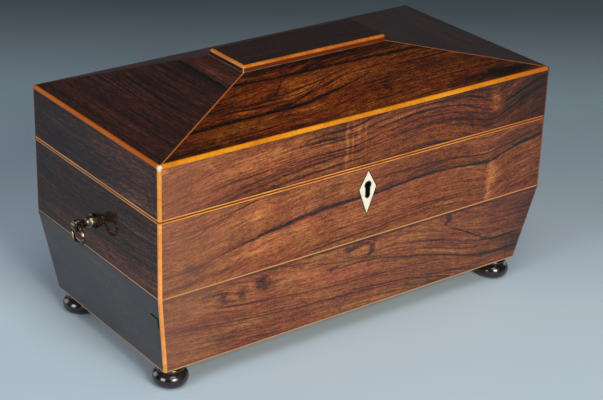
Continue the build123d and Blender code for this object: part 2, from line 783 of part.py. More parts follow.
def canister_leaf(on_lid):
    """One leaf of the right canister's hinge, upright in the joint."""
    own = knuckle_spans(can_mid, can_hinge_length, knuckle_count, knuckle_gap, 1 if on_lid else 0)
    other = knuckle_spans(can_mid, can_hinge_length, knuckle_count, knuckle_gap, 0 if on_lid else 1)
    half = can_hinge_length / 2
    way = -1 if on_lid else 1
    near = can_pin_y + way * can_gap / 2
    far = near + way * can_leaf
    z0, z1 = z_divider - can_leaf_height, z_can_pin
    leaf = block(can_mid - half, can_mid + half, min(near, far), max(near, far), z0, z1)
    for x0, x1 in own:
        leaf += rod(can_knuckle_r, (x0, can_pin_y, z_can_pin), (x1, can_pin_y, z_can_pin))
    for x0, x1 in other:
        start, end = (x0 - knuckle_gap, can_pin_y, z_can_pin), (x1 + knuckle_gap, can_pin_y, z_can_pin)
        leaf -= rod(can_knuckle_r + fit_gap, start, end)
    return leaf - can_pin(can_pin_r + pin_clear if on_lid else can_pin_r)


def can_pin(r):
    """The pin of the right canister's hinge, or the hole for it."""
    half = can_hinge_length / 2
    return rod(r, (can_mid - half, can_pin_y, z_can_pin), (can_mid + half, can_pin_y, z_can_pin))

# ---- lid ------------------------------------------------------------------------------
z_eave_line = z_eave - eave_string
z_lid_line = z_lid + rim_string
z_ceiling = z_eave - roof_veneer - roof_board - ceiling_thick
inside_eave = middle(half_length - eave_string, half_depth - eave_string, 0, FAR)
above_line = middle(FAR, FAR, z_eave_line, FAR)
lid_block = lid_form(0, 0)
eave_ring = (lid_block & above_line) - inside_eave
lid_upright = fillet(upright_edges(middle(half_length, half_depth, z_lid, FAR)), arris)
eave_lines = [rounded_eave(line) & lid_upright for line in mitred(eave_ring)]
lid_posts = corner_posts(z_lid_line, z_eave_line)
lid_corners = lid_posts & lid_upright
lid_edge_band = rim_band(z_lid, z_lid_line)
lid_rim_line = (lid_edge_band & lid_upright) - hinge_beds
lid_skin = frame(veneer, z_lid_line, z_eave_line) - lid_posts - hinge_beds
cap_plan = middle(cap_half_x, cap_half_y, 0, FAR)


def hip_slabs():
    """Upright slabs on the four hips, one string wide."""
    run_x, run_y = half_length - cap_half_x, half_depth - cap_half_y
    size = math.hypot(run_x, run_y)
    side_x, side_y = -run_y / size * hip_string / 2, run_x / size * hip_string / 2
    start, end = (cap_half_x - run_x / 2, cap_half_y - run_y / 2), (half_length, half_depth)
    plan = [
        (start[0] + side_x, start[1] + side_y), (end[0] + side_x, end[1] + side_y),
        (end[0] - side_x, end[1] - side_y), (start[0] - side_x, start[1] - side_y),
    ]
    slab = upright(plan, z_lid, FAR)
    right = [slab, mirror(slab, about=Plane.XZ)]
    return right + [mirror(piece, about=Plane.YZ) for piece in right]


roof_skin = ((lid_block - lid_form(0, roof_veneer)) & inside_eave) - cap_plan
hips = [(roof_skin & slab) for slab in hip_slabs()]
roof_panels = less(roof_skin, hip_slabs())

below_skin = lid_form(veneer, roof_veneer)
below_boards = lid_form(veneer, roof_veneer + roof_board)
lid_cuts = eave_lines + [lid_posts, lid_edge_band, hinge_beds, lid_screw_beds, link_block()]
roof_layer = less(below_skin - below_boards - cap_plan, eave_lines + [lid_posts])
lid_walls = less(below_boards - middle(hollow_x, hollow_y, 0, FAR), lid_cuts)
lid_front_board = lid_walls & block(-FAR, FAR, -FAR, -hollow_y, 0, FAR)
lid_back_board = lid_walls & block(-FAR, FAR, hollow_y, FAR, 0, FAR)
lid_end_boards = lid_walls & block(-FAR, FAR, -hollow_y, hollow_y, 0, FAR)
top_board = middle(cap_half_x, cap_half_y, z_cap - roof_veneer - roof_board, z_cap)
lid_ceiling = middle(hollow_x, hollow_y, z_ceiling, z_ceiling + ceiling_thick)


def roof_sectors():
    """Plan outlines of the four slopes, parted at the hips."""
    grow = 1.1
    out_x = cap_half_x + (half_length - cap_half_x) * grow
    out_y = cap_half_y + (half_depth - cap_half_y) * grow
    cap_x, cap_y = cap_half_x, cap_half_y
    front = upright([(-cap_x, -cap_y), (cap_x, -cap_y), (out_x, -out_y), (-out_x, -out_y)], 0, FAR)
    right = upright([(cap_x, -cap_y), (out_x, -out_y), (out_x, out_y), (cap_x, cap_y)], 0, FAR)
    return [front, mirror(front, about=Plane.XZ), right, mirror(right, about=Plane.YZ)]


roof_boards = [roof_layer & sector for sector in roof_sectors()]

# ---- cap ------------------------------------------------------------------------------
z_cap_foot = z_cap + cap_foot_string
z_cap_line = z_top - cap_string
cap_block = middle(cap_half_x, cap_half_y, z_cap, z_top)
cap_outer = fillet(edges_at(cap_block, z_top), top_arris) & fillet(upright_edges(cap_block), arris)
cap_foot = cap_outer & middle(FAR, FAR, z_cap, z_cap_foot)
cap_foot -= middle(cap_half_x - veneer, cap_half_y - veneer, z_cap, z_cap_foot)
cap_inner = middle(cap_half_x - cap_string, cap_half_y - cap_string, z_cap_line, z_top)
cap_line = (cap_outer & middle(FAR, FAR, z_cap_line, z_top)) - cap_inner
cap_veneer = middle(cap_half_x - cap_string, cap_half_y - cap_string, z_top - veneer, z_top)
cap_board = cap_outer - cap_foot - cap_line - cap_veneer

# ---- nodes: case ----------------------------------------------------------------------
save("case_front_board", case_front_board)
save("case_back_board", case_back_board)
save("case_left_board", case_left_board)
save("case_right_board", case_right_board)
save("base_board", base_board)
save("upper_front_veneer", side(upper_skin, Axis.Y, False))
save("upper_back_veneer", side(upper_skin, Axis.Y, True))
save("upper_end_veneers", side(upper_skin, Axis.X, False), side(upper_skin, Axis.X, True))
save("lower_front_veneer", side(lower_skin, Axis.Y, False))
save("lower_back_veneer", side(lower_skin, Axis.Y, True))
save("lower_end_veneers", side(lower_skin, Axis.X, False), side(lower_skin, Axis.X, True))
save("case_corner_stringing", corners)
save("case_line_stringing", rim_line, waist_line, base_line)
for name, foot in feet.items():
    save(name, foot)
save("handle_posts", *posts)
save("handle_nuts", *nuts)
save("escutcheon", escutcheon)
save("lock_case", lock_case)
save("case_screws", *case_screws)
save("case_hinge_leaves", *case_leaves)
save("lid_hinge_pins", *hinge_pins)
save("lining_boards", *lining_boards)
save("well_partitions", *partitions)
save("well_deck", well_deck)
save("mixing_bowl", mixing_bowl)
save("canister_right", canister_shape())
save("canister_left", mirror(canister_shape(), about=Plane.YZ))
save("canister_foils", *both_sides(foil_shape()))
save("canister_hinge_leaves", *both_sides(canister_leaf(False)), *both_sides(can_pin(can_pin_r)))

# ---- nodes: what moves ----------------------------------------------------------------
save("ring_right", rings[0])
save("ring_left", rings[1])
save("lock_bolt", lock_bolt)
for name, flip in (("right", 0), ("left", 1)):
    save(f"canister_lid_{name}", both_sides(canister_lid_shape())[flip])
    save(f"canister_knob_{name}", both_sides(knob_shape())[flip])
    save(f"canister_leaf_{name}", both_sides(canister_leaf(True))[flip])

# ---- nodes: lid -----------------------------------------------------------------------
save("lid_front_board", lid_front_board)
save("lid_back_board", lid_back_board)
save("lid_end_boards", lid_end_boards)
save("lid_roof_boards", *roof_boards, top_board)
save("lid_ceiling", lid_ceiling)
save("lid_front_veneer", side(lid_skin, Axis.Y, False))
save("lid_back_veneer", side(lid_skin, Axis.Y, True))
save("lid_end_veneers", side(lid_skin, Axis.X, False), side(lid_skin, Axis.X, True))
save("roof_front_veneer", side(roof_panels, Axis.Y, False))
save("roof_back_veneer", side(roof_panels, Axis.Y, True))
save("roof_end_veneers", side(roof_panels, Axis.X, False), side(roof_panels, Axis.X, True))
save("lid_edge_stringing", lid_corners, lid_rim_line)
save("roof_stringing", *eave_lines, *hips)
save("cap_board", cap_board)
save("cap_veneer", cap_veneer)
save("cap_stringing", cap_line, cap_foot)
save("link_plate", link_plate)
save("lid_hinge_leaves", *lid_leaves)
save("lid_screws", *lid_screws)
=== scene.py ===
import math

import bpy
from mathutils import Matrix, Vector


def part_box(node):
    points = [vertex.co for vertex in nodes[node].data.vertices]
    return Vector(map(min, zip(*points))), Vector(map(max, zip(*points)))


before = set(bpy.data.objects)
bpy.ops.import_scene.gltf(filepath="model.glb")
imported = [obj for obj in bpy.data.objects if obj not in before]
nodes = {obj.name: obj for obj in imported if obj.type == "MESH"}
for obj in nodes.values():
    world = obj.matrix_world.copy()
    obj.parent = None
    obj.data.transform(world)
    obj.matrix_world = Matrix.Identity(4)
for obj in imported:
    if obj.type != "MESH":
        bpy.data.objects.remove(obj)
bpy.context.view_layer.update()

MM = 0.001


def box(name):
    """The lowest and the highest corner of a CAD node, in millimetres."""
    return [[place / MM for place in corner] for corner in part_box(name)]


# Places on the box, in millimetres, read from its pieces.
_, (HALF_LENGTH, HALF_DEPTH, _) = box("roof_stringing")
(*_, Z_CAP), (CAP_HALF_LENGTH, CAP_HALF_DEPTH, Z_TOP) = box("cap_stringing")
(*_, Z_BASE), (_, Y_INSIDE, Z_RIM) = box("case_front_board")
(*_, Z_WAIST), _ = box("upper_front_veneer")
(*_, Z_LID), _ = box("lid_front_board")
_, (*_, Z_EAVE) = box("lid_front_veneer")
Z_SEAM = (Z_RIM + Z_LID) / 2
KITE_LOW, KITE_HIGH = box("escutcheon")
KITE_HALF_WIDTH = (KITE_HIGH[0] - KITE_LOW[0]) / 2
LOCK_X = (KITE_HIGH[0] + KITE_LOW[0]) / 2

# Sizes that the box of a piece doesn't show.
STRING = 2.0  # width of the square lines on the eave, the corners and the cap
BESIDE = 0.4  # a line's own shade starts this far beside it
CAP_FOOT = 0.5  # height of the thin line at the foot of the cap
KITE_SHOULDER = 0.6  # the plate is widest at this share of its height
KEY_DROP = 9.9  # centre of the keyhole's round head below the plate's upper tip
KEY_SLOT = 7.6  # length of the keyhole's slot, between the centres of its ends
KEY_HEAD = 0.8  # the head is this much wider than the slot, on each side


# ---- colours and nodes ------------------------------------------------------------------
def linear(colour):
    """An sRGB hex colour as the linear values that a socket takes."""
    parts = [int(colour[i:i + 2], 16) / 255 for i in (0, 2, 4)]
    return tuple(p / 12.92 if p <= 0.04045 else ((p + 0.055) / 1.055) ** 2.4 for p in parts) + (1.0,)


def fill(node, inputs):
    """Sets or links a node's sockets, by name or in order. Text is an sRGB hex colour."""
    pairs = inputs.items() if isinstance(inputs, dict) else enumerate(inputs)
    for key, value in pairs:
        if isinstance(value, bpy.types.NodeSocket):
            node.id_data.links.new(value, node.inputs[key])
        else:
            node.inputs[key].default_value = linear(value) if isinstance(value, str) else value


def add(tree, kind, inputs=(), out=0, stops=None, points=None, **settings):
    """Adds one node with its settings, links, ramp stops or curve points, and gives back one output."""
    made = tree.nodes.new("ShaderNode" + kind)
    for key, value in settings.items():
        setattr(made, key, value)
    fill(made, inputs)
    if stops:
        ramp = made.color_ramp.elements
        ramp.remove(ramp[1])
        ramp[0].position, ramp[0].color = stops[0][0], linear(stops[0][1])
        for place, colour in stops[1:]:
            ramp.new(place).color = linear(colour)
    if points:
        line = made.mapping.curves[0].points
        line[0].location, line[1].location = points[0], points[-1]
        for point in points[1:-1]:
            line.new(*point)
        made.mapping.update()
    return made.outputs[out]


# A mix of two colours: its socket 0 takes the share of the second, 6 and 7 take the colours.
BLEND = {"data_type": "RGBA", "out": 2}
# A map from one range to another that starts and ends gently.
SMOOTH = {"interpolation_type": "SMOOTHSTEP"}


def blank(name):
    """A new material: the material, its tree and its Principled shader, to be filled in."""
    made = bpy.data.materials.new(name)
    made.use_nodes = True
    return made, made.node_tree, made.node_tree.nodes["Principled BSDF"]


def dress(material, *names):
    """Gives a material to CAD nodes."""
    for node in names:
        mesh = nodes[node].data
        mesh.materials.clear()
        mesh.materials.append(material)


class Surface:
    """The surface of one material, with u along it, v across it and w through it, in millimetres."""

    THROUGH = 0.02  # how slowly the figure changes through the wood
    VEIN_SWAY = 1.4  # a vein strays this far from its line
    VEIN_END = 12  # and fades in and out over this length

    def __init__(self, name, along="X", across="Z", seed=0.0, line=None, waver=3.0, eyes=()):
        """The grain runs along a line, wavers by some mm, and parts round eyes (u, v, half sizes, pull)."""
        self.made, self.tree, self.shader = blank(name)
        tree = self.tree
        place = add(tree, "TexCoord", out="Object")
        place = add(tree, "VectorMath", {0: place, 3: 1 / MM}, operation="SCALE")
        axes = add(tree, "SeparateXYZ", (place,)).node.outputs
        third = ({"X", "Y", "Z"} - {along, across}).pop()
        self.u, self.v, self.w = axes[along], axes[across], axes[third]
        depth = add(tree, "Math", (self.w, self.THROUGH, seed), operation="MULTIPLY_ADD")
        self.flat = add(tree, "CombineXYZ", (self.u, self.v, depth))
        bend = self.mottle(self.flat, (95, 30, 1))
        ring = add(tree, "Math", (bend, waver * 2, self.v), operation="MULTIPLY_ADD")
        if line:
            ring = add(tree, "Math", (ring, self.drawn(line)), operation="SUBTRACT")
        for u, v, long, wide, pull in eyes:
            amount = add(tree, "Math", (self.patch(self.flat, u, v, long, wide), pull), operation="MULTIPLY")
            off = add(tree, "Math", (v, self.v), operation="SUBTRACT")
            ring = add(tree, "Math", (amount, off, ring), operation="MULTIPLY_ADD")
        self.grain = add(tree, "CombineXYZ", (self.u, ring, depth))

    def drawn(self, line):
        """A smooth line drawn over the surface, through points along and across it."""
        us, vs = [p[0] for p in line], [p[1] for p in line]
        low, high = min(vs) - 10, max(vs) + 10
        reach = us[-1] - us[0]
        shape = [((u - us[0]) / reach, (v - low) / (high - low)) for u, v in line]
        share = add(self.tree, "MapRange", (self.u, us[0], us[-1]))
        height = add(self.tree, "FloatCurve", {"Value": share}, points=shape)
        return add(self.tree, "MapRange", (height, 0.0, 1.0, low, high))

    def mottle(self, place, size, detail=2.0, rough=0.5, shift=0.0):
        """Uneven patches or streaks of these sizes, from 0 to 1."""
        scale = tuple(1 / s for s in size)
        place = add(self.tree, "Mapping", (place, (shift, shift * 2.3, 0), (0, 0, 0), scale))
        look = {"Vector": place, "Scale": 1.0, "Detail": detail, "Roughness": rough}
        return add(self.tree, "TexNoise", look)

    def patch(self, place, u, v, long, wide):
        """A soft round patch: 1 at its middle, 0 from these half sizes outwards."""
        middle = (-u / long, -v / wide, 0)
        place = add(self.tree, "Mapping", (place, middle, (0, 0, 0), (1 / long, 1 / wide, 0)))
        return add(self.tree, "TexGradient", (place,), out="Fac", gradient_type="SPHERICAL")

    def pushed(self, by):
        """The surface's own place, pushed about by this many mm, in waves of 11 by 6 mm."""
        stretched = add(self.tree, "VectorMath", (self.flat, (0.09, 0.16, 1)), operation="MULTIPLY")
        push = add(self.tree, "TexNoise", {"Vector": stretched, "Scale": 1.0, "Detail": 3.0}, out="Color")
        push = add(self.tree, "VectorMath", (push, (0.5, 0.5, 0.5)), operation="SUBTRACT")
        return add(self.tree, "VectorMath", (push, (by * 4, by * 2, 0), self.flat), operation="MULTIPLY_ADD")

    def patches(self, places, start, ragged=5.0):
        """Adds ragged patches (u, v, half length, half width, strength) that fade out beyond their sizes."""
        place = self.pushed(ragged)
        for u, v, long, wide, strength in places:
            one = self.patch(place, u, v, long * 1.5, wide * 1.5)
            start = add(self.tree, "Math", (one, strength, start), operation="MULTIPLY_ADD")
        return start

    def vein(self, tone, points, depth, side=0.0, smudge=0.0):
        """Darkens a tone along a line of (u, v, half width), and over a band on one side of it."""
        tree = self.tree
        sway = self.mottle(self.flat, (9, 60, 1))
        fray = self.mottle(self.flat, (3.0, 1.2, 1), 2.0, 0.6, 6.0)
        off = add(tree, "Math", (self.v, self.drawn([p[:2] for p in points])), operation="SUBTRACT")
        off = add(tree, "Math", (sway, self.VEIN_SWAY, off), operation="MULTIPLY_ADD")
        off = add(tree, "Math", (fray, self.VEIN_SWAY, off), operation="MULTIPLY_ADD")
        off = add(tree, "Math", (off, self.VEIN_SWAY), operation="SUBTRACT")
        away = add(tree, "Math", (off,), operation="ABSOLUTE")
        half = self.drawn([(p[0], p[2]) for p in points])
        share = add(tree, "Math", (away, half), operation="DIVIDE")
        dark = add(tree, "MapRange", (share, 0.2, 2.0, depth, 0.0), **SMOOTH)
        if side:
            across = add(tree, "Math", (off, 1 / side), operation="MULTIPLY")
            band = add(tree, "MapRange", (across, 0.0, 1.0, smudge, 0.0), **SMOOTH)
            begun = add(tree, "MapRange", (across, -0.05, 0.02))
            dark = add(tree, "Math", (band, begun, dark), operation="MULTIPLY_ADD")
        first, last = points[0][0], points[-1][0]
        shown = add(tree, "MapRange", (self.u, first, first + self.VEIN_END), **SMOOTH)
        ended = add(tree, "MapRange", (self.u, last - self.VEIN_END, last, 1.0, 0.0), **SMOOTH)
        shown = add(tree, "Math", (shown, ended), operation="MULTIPLY")
        broken = add(tree, "MapRange", (fray, 0.3, 0.7, 1.2, 0.6))
        shown = add(tree, "Math", (shown, broken), operation="MULTIPLY")
        dark = add(tree, "Math", (dark, shown), operation="MULTIPLY")
        return add(tree, "Math", (tone, dark), operation="SUBTRACT")


# ---- wood -------------------------------------------------------------------------------
# Brazilian rosewood: red-brown with near-black streaks that run with the grain, short dark
# pores and a slow shimmer across the grain. Old French polish lies over it as a clear coat
# that mirrors like glass, and fills most of the pores.
ROSE_TONES = [(0.0, "0d0806"), (0.18, "231009"), (0.34, "441e0c"), (0.48, "673213"), (0.6, "804621"),
              (0.76, "a16031"), (1.0, "cb864a")]
DARK_TONES = [(0.0, "080403"), (0.18, "1a0a05"), (0.34, "381605"), (0.5, "5a2608"), (0.64, "793b10"),
              (0.8, "9c5522"), (1.0, "c07c3c")]
POLISH = {"Specular IOR Level": 0.05, "IOR": 1.5, "Coat Weight": 0.6, "Coat Roughness": 0.06,
          "Coat IOR": 1.5}
# Length, width, detail, roughness, shift and weight of the layers of the figure. The finest
# stands for the fibres, which are thinner than a hair and are drawn as coarse as shows.
FIGURE = ((210, 12, 2.0, 0.5, 0.0, 0.22), (110, 2.6, 3.0, 0.6, 3.1, 0.36), (40, 1.0, 3.0, 0.7, 7.7, 0.5),
          (6, 0.8, 2.0, 0.6, 5.0, 0.6), (1.3, 0.9, 1.0, 0.5, 13.0, 0.4))
# Real pores are about 2 by 0.2 mm. They are drawn this long and wide, so that they show.
PORE = (4.0, 0.55, 1)


def rosewood(name, along, across, seed, line=None, waver=3.0, eyes=(), veins=(), dark=(), light=(),
             stripes=(), fall=None, level=0.5, contrast=1.0, tones=ROSE_TONES, warmth=0.008, shimmer=0.2,
             streaks=0.16, coat=0.6, edge=None, extra=None, cracks=()):
    """Polished rosewood, whose grain follows a line and whose tone falls along it in broad painted light and
    shade.

    Veins, patches, stripes and cracks are drawn over the figure, and the tone darkens along two edges.
    """
    g = Surface(name, along, across, seed, line, waver, eyes)
    tree = g.tree
    tone = level - contrast * sum(layer[-1] for layer in FIGURE) / 2 - shimmer / 2
    for long, wide, detail, rough, shift, weight in FIGURE:
        layer = g.mottle(g.grain, (long, wide, 1), detail, rough, shift)
        tone = add(tree, "Math", (layer, weight * contrast, tone), operation="MULTIPLY_ADD")
    lines = g.mottle(g.grain, (90, 1.5, 1), 3.0, 0.6, 9.0)
    streak = add(tree, "MapRange", (lines, 0.53, 0.66, 0.0, -streaks), **SMOOTH)
    bundle = g.mottle(g.grain, (120, 13, 1), shift=4.0)
    bundle = add(tree, "MapRange", (bundle, 0.36, 0.64, 0.25, 1.5), **SMOOTH)
    streak = add(tree, "Math", (streak, bundle), operation="MULTIPLY")
    tone = add(tree, "Math", (tone, streak), operation="ADD")
    glow = g.mottle(g.flat, (18, 80, 1), shift=1.7)
    tone = add(tree, "Math", (glow, shimmer, tone), operation="MULTIPLY_ADD")
    # The fall is painted light and shade: it lightens and darkens the tone broadly along the sheet.
    if fall:
        tone = add(tree, "Math", (tone, g.drawn(fall)), operation="ADD")
    for points, depth, side, smudge in veins:
        tone = g.vein(tone, points, depth, side, smudge)
    if dark:
        ragged = g.mottle(g.grain, (14, 1.6, 1), 3.0, 0.7, 5.0)
        ragged = add(tree, "MapRange", (ragged, 0.25, 0.62, 1.25, 0.45), **SMOOTH)
        taken = add(tree, "Math", (g.patches(dark, 0.0), ragged), operation="MULTIPLY")
        tone = add(tree, "Math", (tone, taken), operation="SUBTRACT")
    if light:
        tone = g.patches(light, tone)
    if stripes:
        tone = g.patches(stripes, tone, 1.2)
    colour = add(tree, "ValToRGB", (tone,), stops=tones)
    hue = g.mottle(g.flat, (45, 11, 1), 2.0, 0.6, 21.0)
    hue = add(tree, "MapRange", (hue, 0.3, 0.7, 0.5 - warmth, 0.5 + warmth))
    colour = add(tree, "HueSaturation", {"Hue": hue, "Color": colour})
    pores = g.mottle(g.grain, PORE, 2.0, 0.6, 11.0)
    pore = add(tree, "MapRange", (pores, 0.54, 0.68, 0.0, 0.8), **SMOOTH)
    colour = add(tree, "Mix", {0: pore, 6: colour, 7: "1d100a"}, **BLEND)
    if edge:
        colour = add(tree, "Mix", {0: edge_darkening(g, *edge), 6: colour, 7: "24110a"}, **BLEND)
    if extra:
        colour = extra(g, colour)
    if cracks:
        gap = g.patches(cracks, 0.0, 0.4)
        gap = add(tree, "MapRange", (gap, 0.12, 0.3), **SMOOTH)
        near = add(tree, "MapRange", (g.w, 0.0, 1.0, 1.0, 0.0))
        gap = add(tree, "Math", (gap, near), operation="MULTIPLY")
        colour = add(tree, "Mix", {0: gap, 6: colour, 7: "040302"}, **BLEND)
        coat = add(tree, "Math", (gap, -coat, coat), operation="MULTIPLY_ADD")
    height = add(tree, "Math", (pore, -1.0, tone), operation="MULTIPLY_ADD")
    bump = add(tree, "Bump", {"Strength": 0.3, "Distance": 0.06 * MM, "Height": height})
    dull = g.mottle(g.flat, (45, 30, 1), 3.0, 0.6, 2.0)
    dull = add(tree, "MapRange", (dull, 0.3, 0.7, 0.4, 0.6))
    fill(g.shader, {**POLISH, "Base Color": colour, "Roughness": dull, "Normal": bump, "Coat Weight": coat})
    return g.made


def edge_darkening(g, low, high):
    """How much a panel darkens along its two long edges, at these places across it."""
    tree = g.tree
    below = add(tree, "MapRange", (g.v, low + 0.2, low + 1.3, 1.3, 0.0), **SMOOTH)
    above = add(tree, "MapRange", (g.v, high - 1.3, high - 0.2, 0.0, 1.3), **SMOOTH)
    most = add(tree, "Math", (below, above), operation="MAXIMUM")
    uneven = g.mottle(g.flat, (12, 3, 1), shift=17.0)
    return add(tree, "Math", (most, uneven), operation="MULTIPLY", use_clamp=True)


SHEEN_REACH = 81  # this much of the front has painted sheen, from its left end


def left_end_sheen(g, colour):
    """Painted sheen: the left end of the front is hazed toward a paler brown."""
    share = add(g.tree, "MapRange", (g.u, -HALF_LENGTH, -HALF_LENGTH + SHEEN_REACH, 0.3, 0.0), **SMOOTH)
    return add(g.tree, "Mix", {0: share, 6: colour, 7: "8c6048"}, **BLEND)


def glue_line(g, colour):
    """Dark glue shows in a thin line round the escutcheon, whose edge is at 1. The left end has painted
    sheen.
    """
    across = add(g.tree, "Math", (g.u, LOCK_X), operation="SUBTRACT")
    across = add(g.tree, "Math", (across,), operation="ABSOLUTE")
    across = add(g.tree, "Math", (across, KITE_HALF_WIDTH), operation="DIVIDE")
    middle = KITE_LOW[2] + KITE_SHOULDER * (KITE_HIGH[2] - KITE_LOW[2])
    above = add(g.tree, "MapRange", (g.v, middle, KITE_HIGH[2], 0.0, 1.0), clamp=False)
    below = add(g.tree, "MapRange", (g.v, middle, KITE_LOW[2], 0.0, 1.0), clamp=False)
    off = add(g.tree, "Math", (above, below), operation="MAXIMUM")
    off = add(g.tree, "Math", (off, across), operation="ADD")
    share = add(g.tree, "MapRange", (off, 1.05, 1.16, 0.9, 0.0), **SMOOTH)
    return add(g.tree, "Mix", {0: share, 6: left_end_sheen(g, colour), 7: "120a07"}, **BLEND)


# ---- camera -----------------------------------------------------------------------------
YAW, PITCH, ROLL = 37.018, 25.127, 1.867  # degrees: to the right, down, and anticlockwise
EYE = (-638.19, -854.756, 573.139)
SENSOR = 36.0  # its width
FOCAL_PIXELS, FRAME_PIXELS = 1666.98, 603  # the focal length and the width of the frame, in pixels


def look():
    """The camera, from its place and its three turns."""
    yaw, pitch, roll = math.radians(YAW), math.radians(PITCH), math.radians(ROLL)
    ahead = Vector((math.cos(pitch) * math.sin(yaw), math.cos(pitch) * math.cos(yaw), -math.sin(pitch)))
    level = Vector((math.cos(yaw), -math.sin(yaw), 0))
    up = level.cross(ahead)
    right = level * math.cos(roll) + up * math.sin(roll)
    top = up * math.cos(roll) - level * math.sin(roll)
    turn = Matrix((right, top, -ahead)).transposed().to_4x4()
    data = bpy.data.cameras.new("camera")
    data.sensor_width = SENSOR
    data.lens = SENSOR * FOCAL_PIXELS / FRAME_PIXELS
    made = bpy.data.objects.new("camera", data)
    made.matrix_world = Matrix.Translation(Vector(EYE) * MM) @ turn
    bpy.context.scene.collection.objects.link(made)
    bpy.context.scene.camera = made


look()


# ---- rosewood panels --------------------------------------------------------------------
# Each vein has its points (u, v, half width), its depth and the width and depth of the smudge beside it.
upper_line = [(-161, 88.6), (-139, 89.3), (-121, 93), (-104, 96), (-89, 99.2), (-71, 100.6), (-54, 103.3),
              (-36, 104.6), (-9, 105.6), (10, 106), (29, 107.6), (48, 108.6), (64, 109), (89, 107.0),
              (104, 105), (112, 105.4), (124, 109.5), (138, 113), (161, 116)]
upper_veins = [
    ([(-175, 90.4, 0.3), (-139, 90.2, 0.35), (-121, 93.8, 0.35), (-104, 97, 0.4), (-89, 100, 0.8),
      (-71, 102.3, 1.1), (-54, 104.7, 1.35), (-36, 106.2, 1.3), (-9, 107, 0.9), (10, 107.3, 0.6),
      (29, 108.8, 0.6), (48, 109.8, 0.55), (64, 110.0, 0.55), (89, 108.2, 0.6), (104, 106.4, 1.1),
      (112, 106.6, 0.8), (124, 110.5, 0.6), (138, 113.6, 0.8), (175, 119, 1.1)], 0.4, 6.0, 0.17),
    ([(-175, 80, 0.5), (-150, 80.5, 0.6), (-128, 83, 1.6), (-112, 84, 0.9), (-98, 90, 0.5), (-80, 95, 0.5),
      (-60, 98, 0.4)], 0.16, -4.0, 0.05),
    ([(-175, 116, 0.5), (-150, 116.5, 0.5), (-120, 118, 0.5), (-100, 124, 0.5), (-80, 128, 0.4)],
     0.14, 3.0, 0.08),
    ([(0, 118, 0.4), (40, 118, 0.5), (75, 117, 0.5), (105, 113, 0.5), (130, 117, 0.7), (175, 126, 0.9)],
     0.16, 0, 0),
    ([(20, 90, 0.3), (60, 89, 0.4), (110, 88, 0.5), (150, 90, 0.4), (175, 92, 0.4)], 0.1, 0, 0)]
dress(rosewood("rosewood_upper_front", "X", "Z", 1.0, upper_line, veins=upper_veins,
               dark=[(-133, 88.5, 9, 3.2, 0.34), (-116, 91, 10, 2.4, 0.22), (-150, 84, 12, 5, 0.1),
                     (140, 120, 26, 6, 0.14), (60, 116, 50, 5, 0.06), (146, 82, 18, 4, 0.10)],
               light=[(-92, 114, 20, 8, 0.12), (-88, 92, 24, 5, 0.12), (-30, 97, 40, 6, 0.07),
                      (60, 99, 40, 7, 0.04), (20, 84, 60, 7, 0.04)],
               stripes=[(112.5, 94, 4, 11, 0.26), (110, 83, 2.4, 9, 0.22), (117, 97, 5, 5, 0.12),
                        (-70, 98, 30, 1.6, 0.12), (-100, 90, 16, 1.4, 0.14)],
               fall=[(-161, 0.0), (-120, 0.03), (-60, 0.05), (0, 0.01), (60, -0.03), (120, -0.04),
                     (161, -0.08)],
               level=0.535, contrast=0.8, streaks=0.12, coat=0.75, edge=(Z_WAIST - 0.8, Z_RIM - 0.9),
               extra=glue_line),
      "upper_front_veneer")

lid_line = [(-161, 125), (-128, 131), (-111, 133.5), (-89, 135), (-68, 137), (-38, 139.3), (-11, 140),
            (0, 142), (26, 145), (49, 147.3), (79, 145), (96, 140.6), (108, 138.5), (120, 141.5),
            (134, 147), (161, 156)]
lid_veins = [
    ([(-160, 128, 0.5), (-140, 131, 0.5), (-120, 134, 0.6), (-100, 137, 0.6), (-82, 141, 0.6),
      (-60, 144, 0.6), (-38, 145.6, 0.7), (-14, 146, 0.5), (10, 150, 0.4)], 0.16, 0, 0),
    ([(-140, 128, 0.5), (-110, 132, 0.7), (-86, 135.5, 0.7), (-60, 139, 0.6), (-36, 141, 0.6),
      (-10, 142, 0.4), (10, 143.4, 0.35), (40, 147, 0.35), (60, 147.6, 0.35), (80, 145, 0.35),
      (98, 140.5, 0.4), (108, 138.6, 0.45), (120, 141.6, 0.45), (140, 150, 0.5), (175, 160, 0.5)],
     0.2, -3.0, 0.06),
    ([(-100, 130, 0.8), (-80, 131.5, 1.2), (-60, 133.6, 1.0), (-36, 135, 0.7), (0, 136.5, 0.4)], 0.26, 0, 0),
    ([(0, 153, 0.4), (24, 156, 0.4), (50, 157.5, 0.5), (74, 156, 0.5), (92, 151, 0.6), (106, 146, 0.6),
      (114, 146, 0.5)], 0.22, 0, 0),
    ([(10, 148, 0.4), (34, 152, 0.4), (60, 152.6, 0.5), (84, 149, 0.5), (100, 144.6, 0.5), (112, 143, 0.4)],
     0.2, 0, 0),
    ([(20, 160, 0.4), (52, 162, 0.5), (90, 159, 0.5), (110, 151, 0.5), (120, 149, 0.4)], 0.18, 0, 0),
    ([(112, 146, 0.4), (126, 151, 0.7), (145, 158, 1.0), (175, 164, 1.0)], 0.3, 5.0, 0.12)]
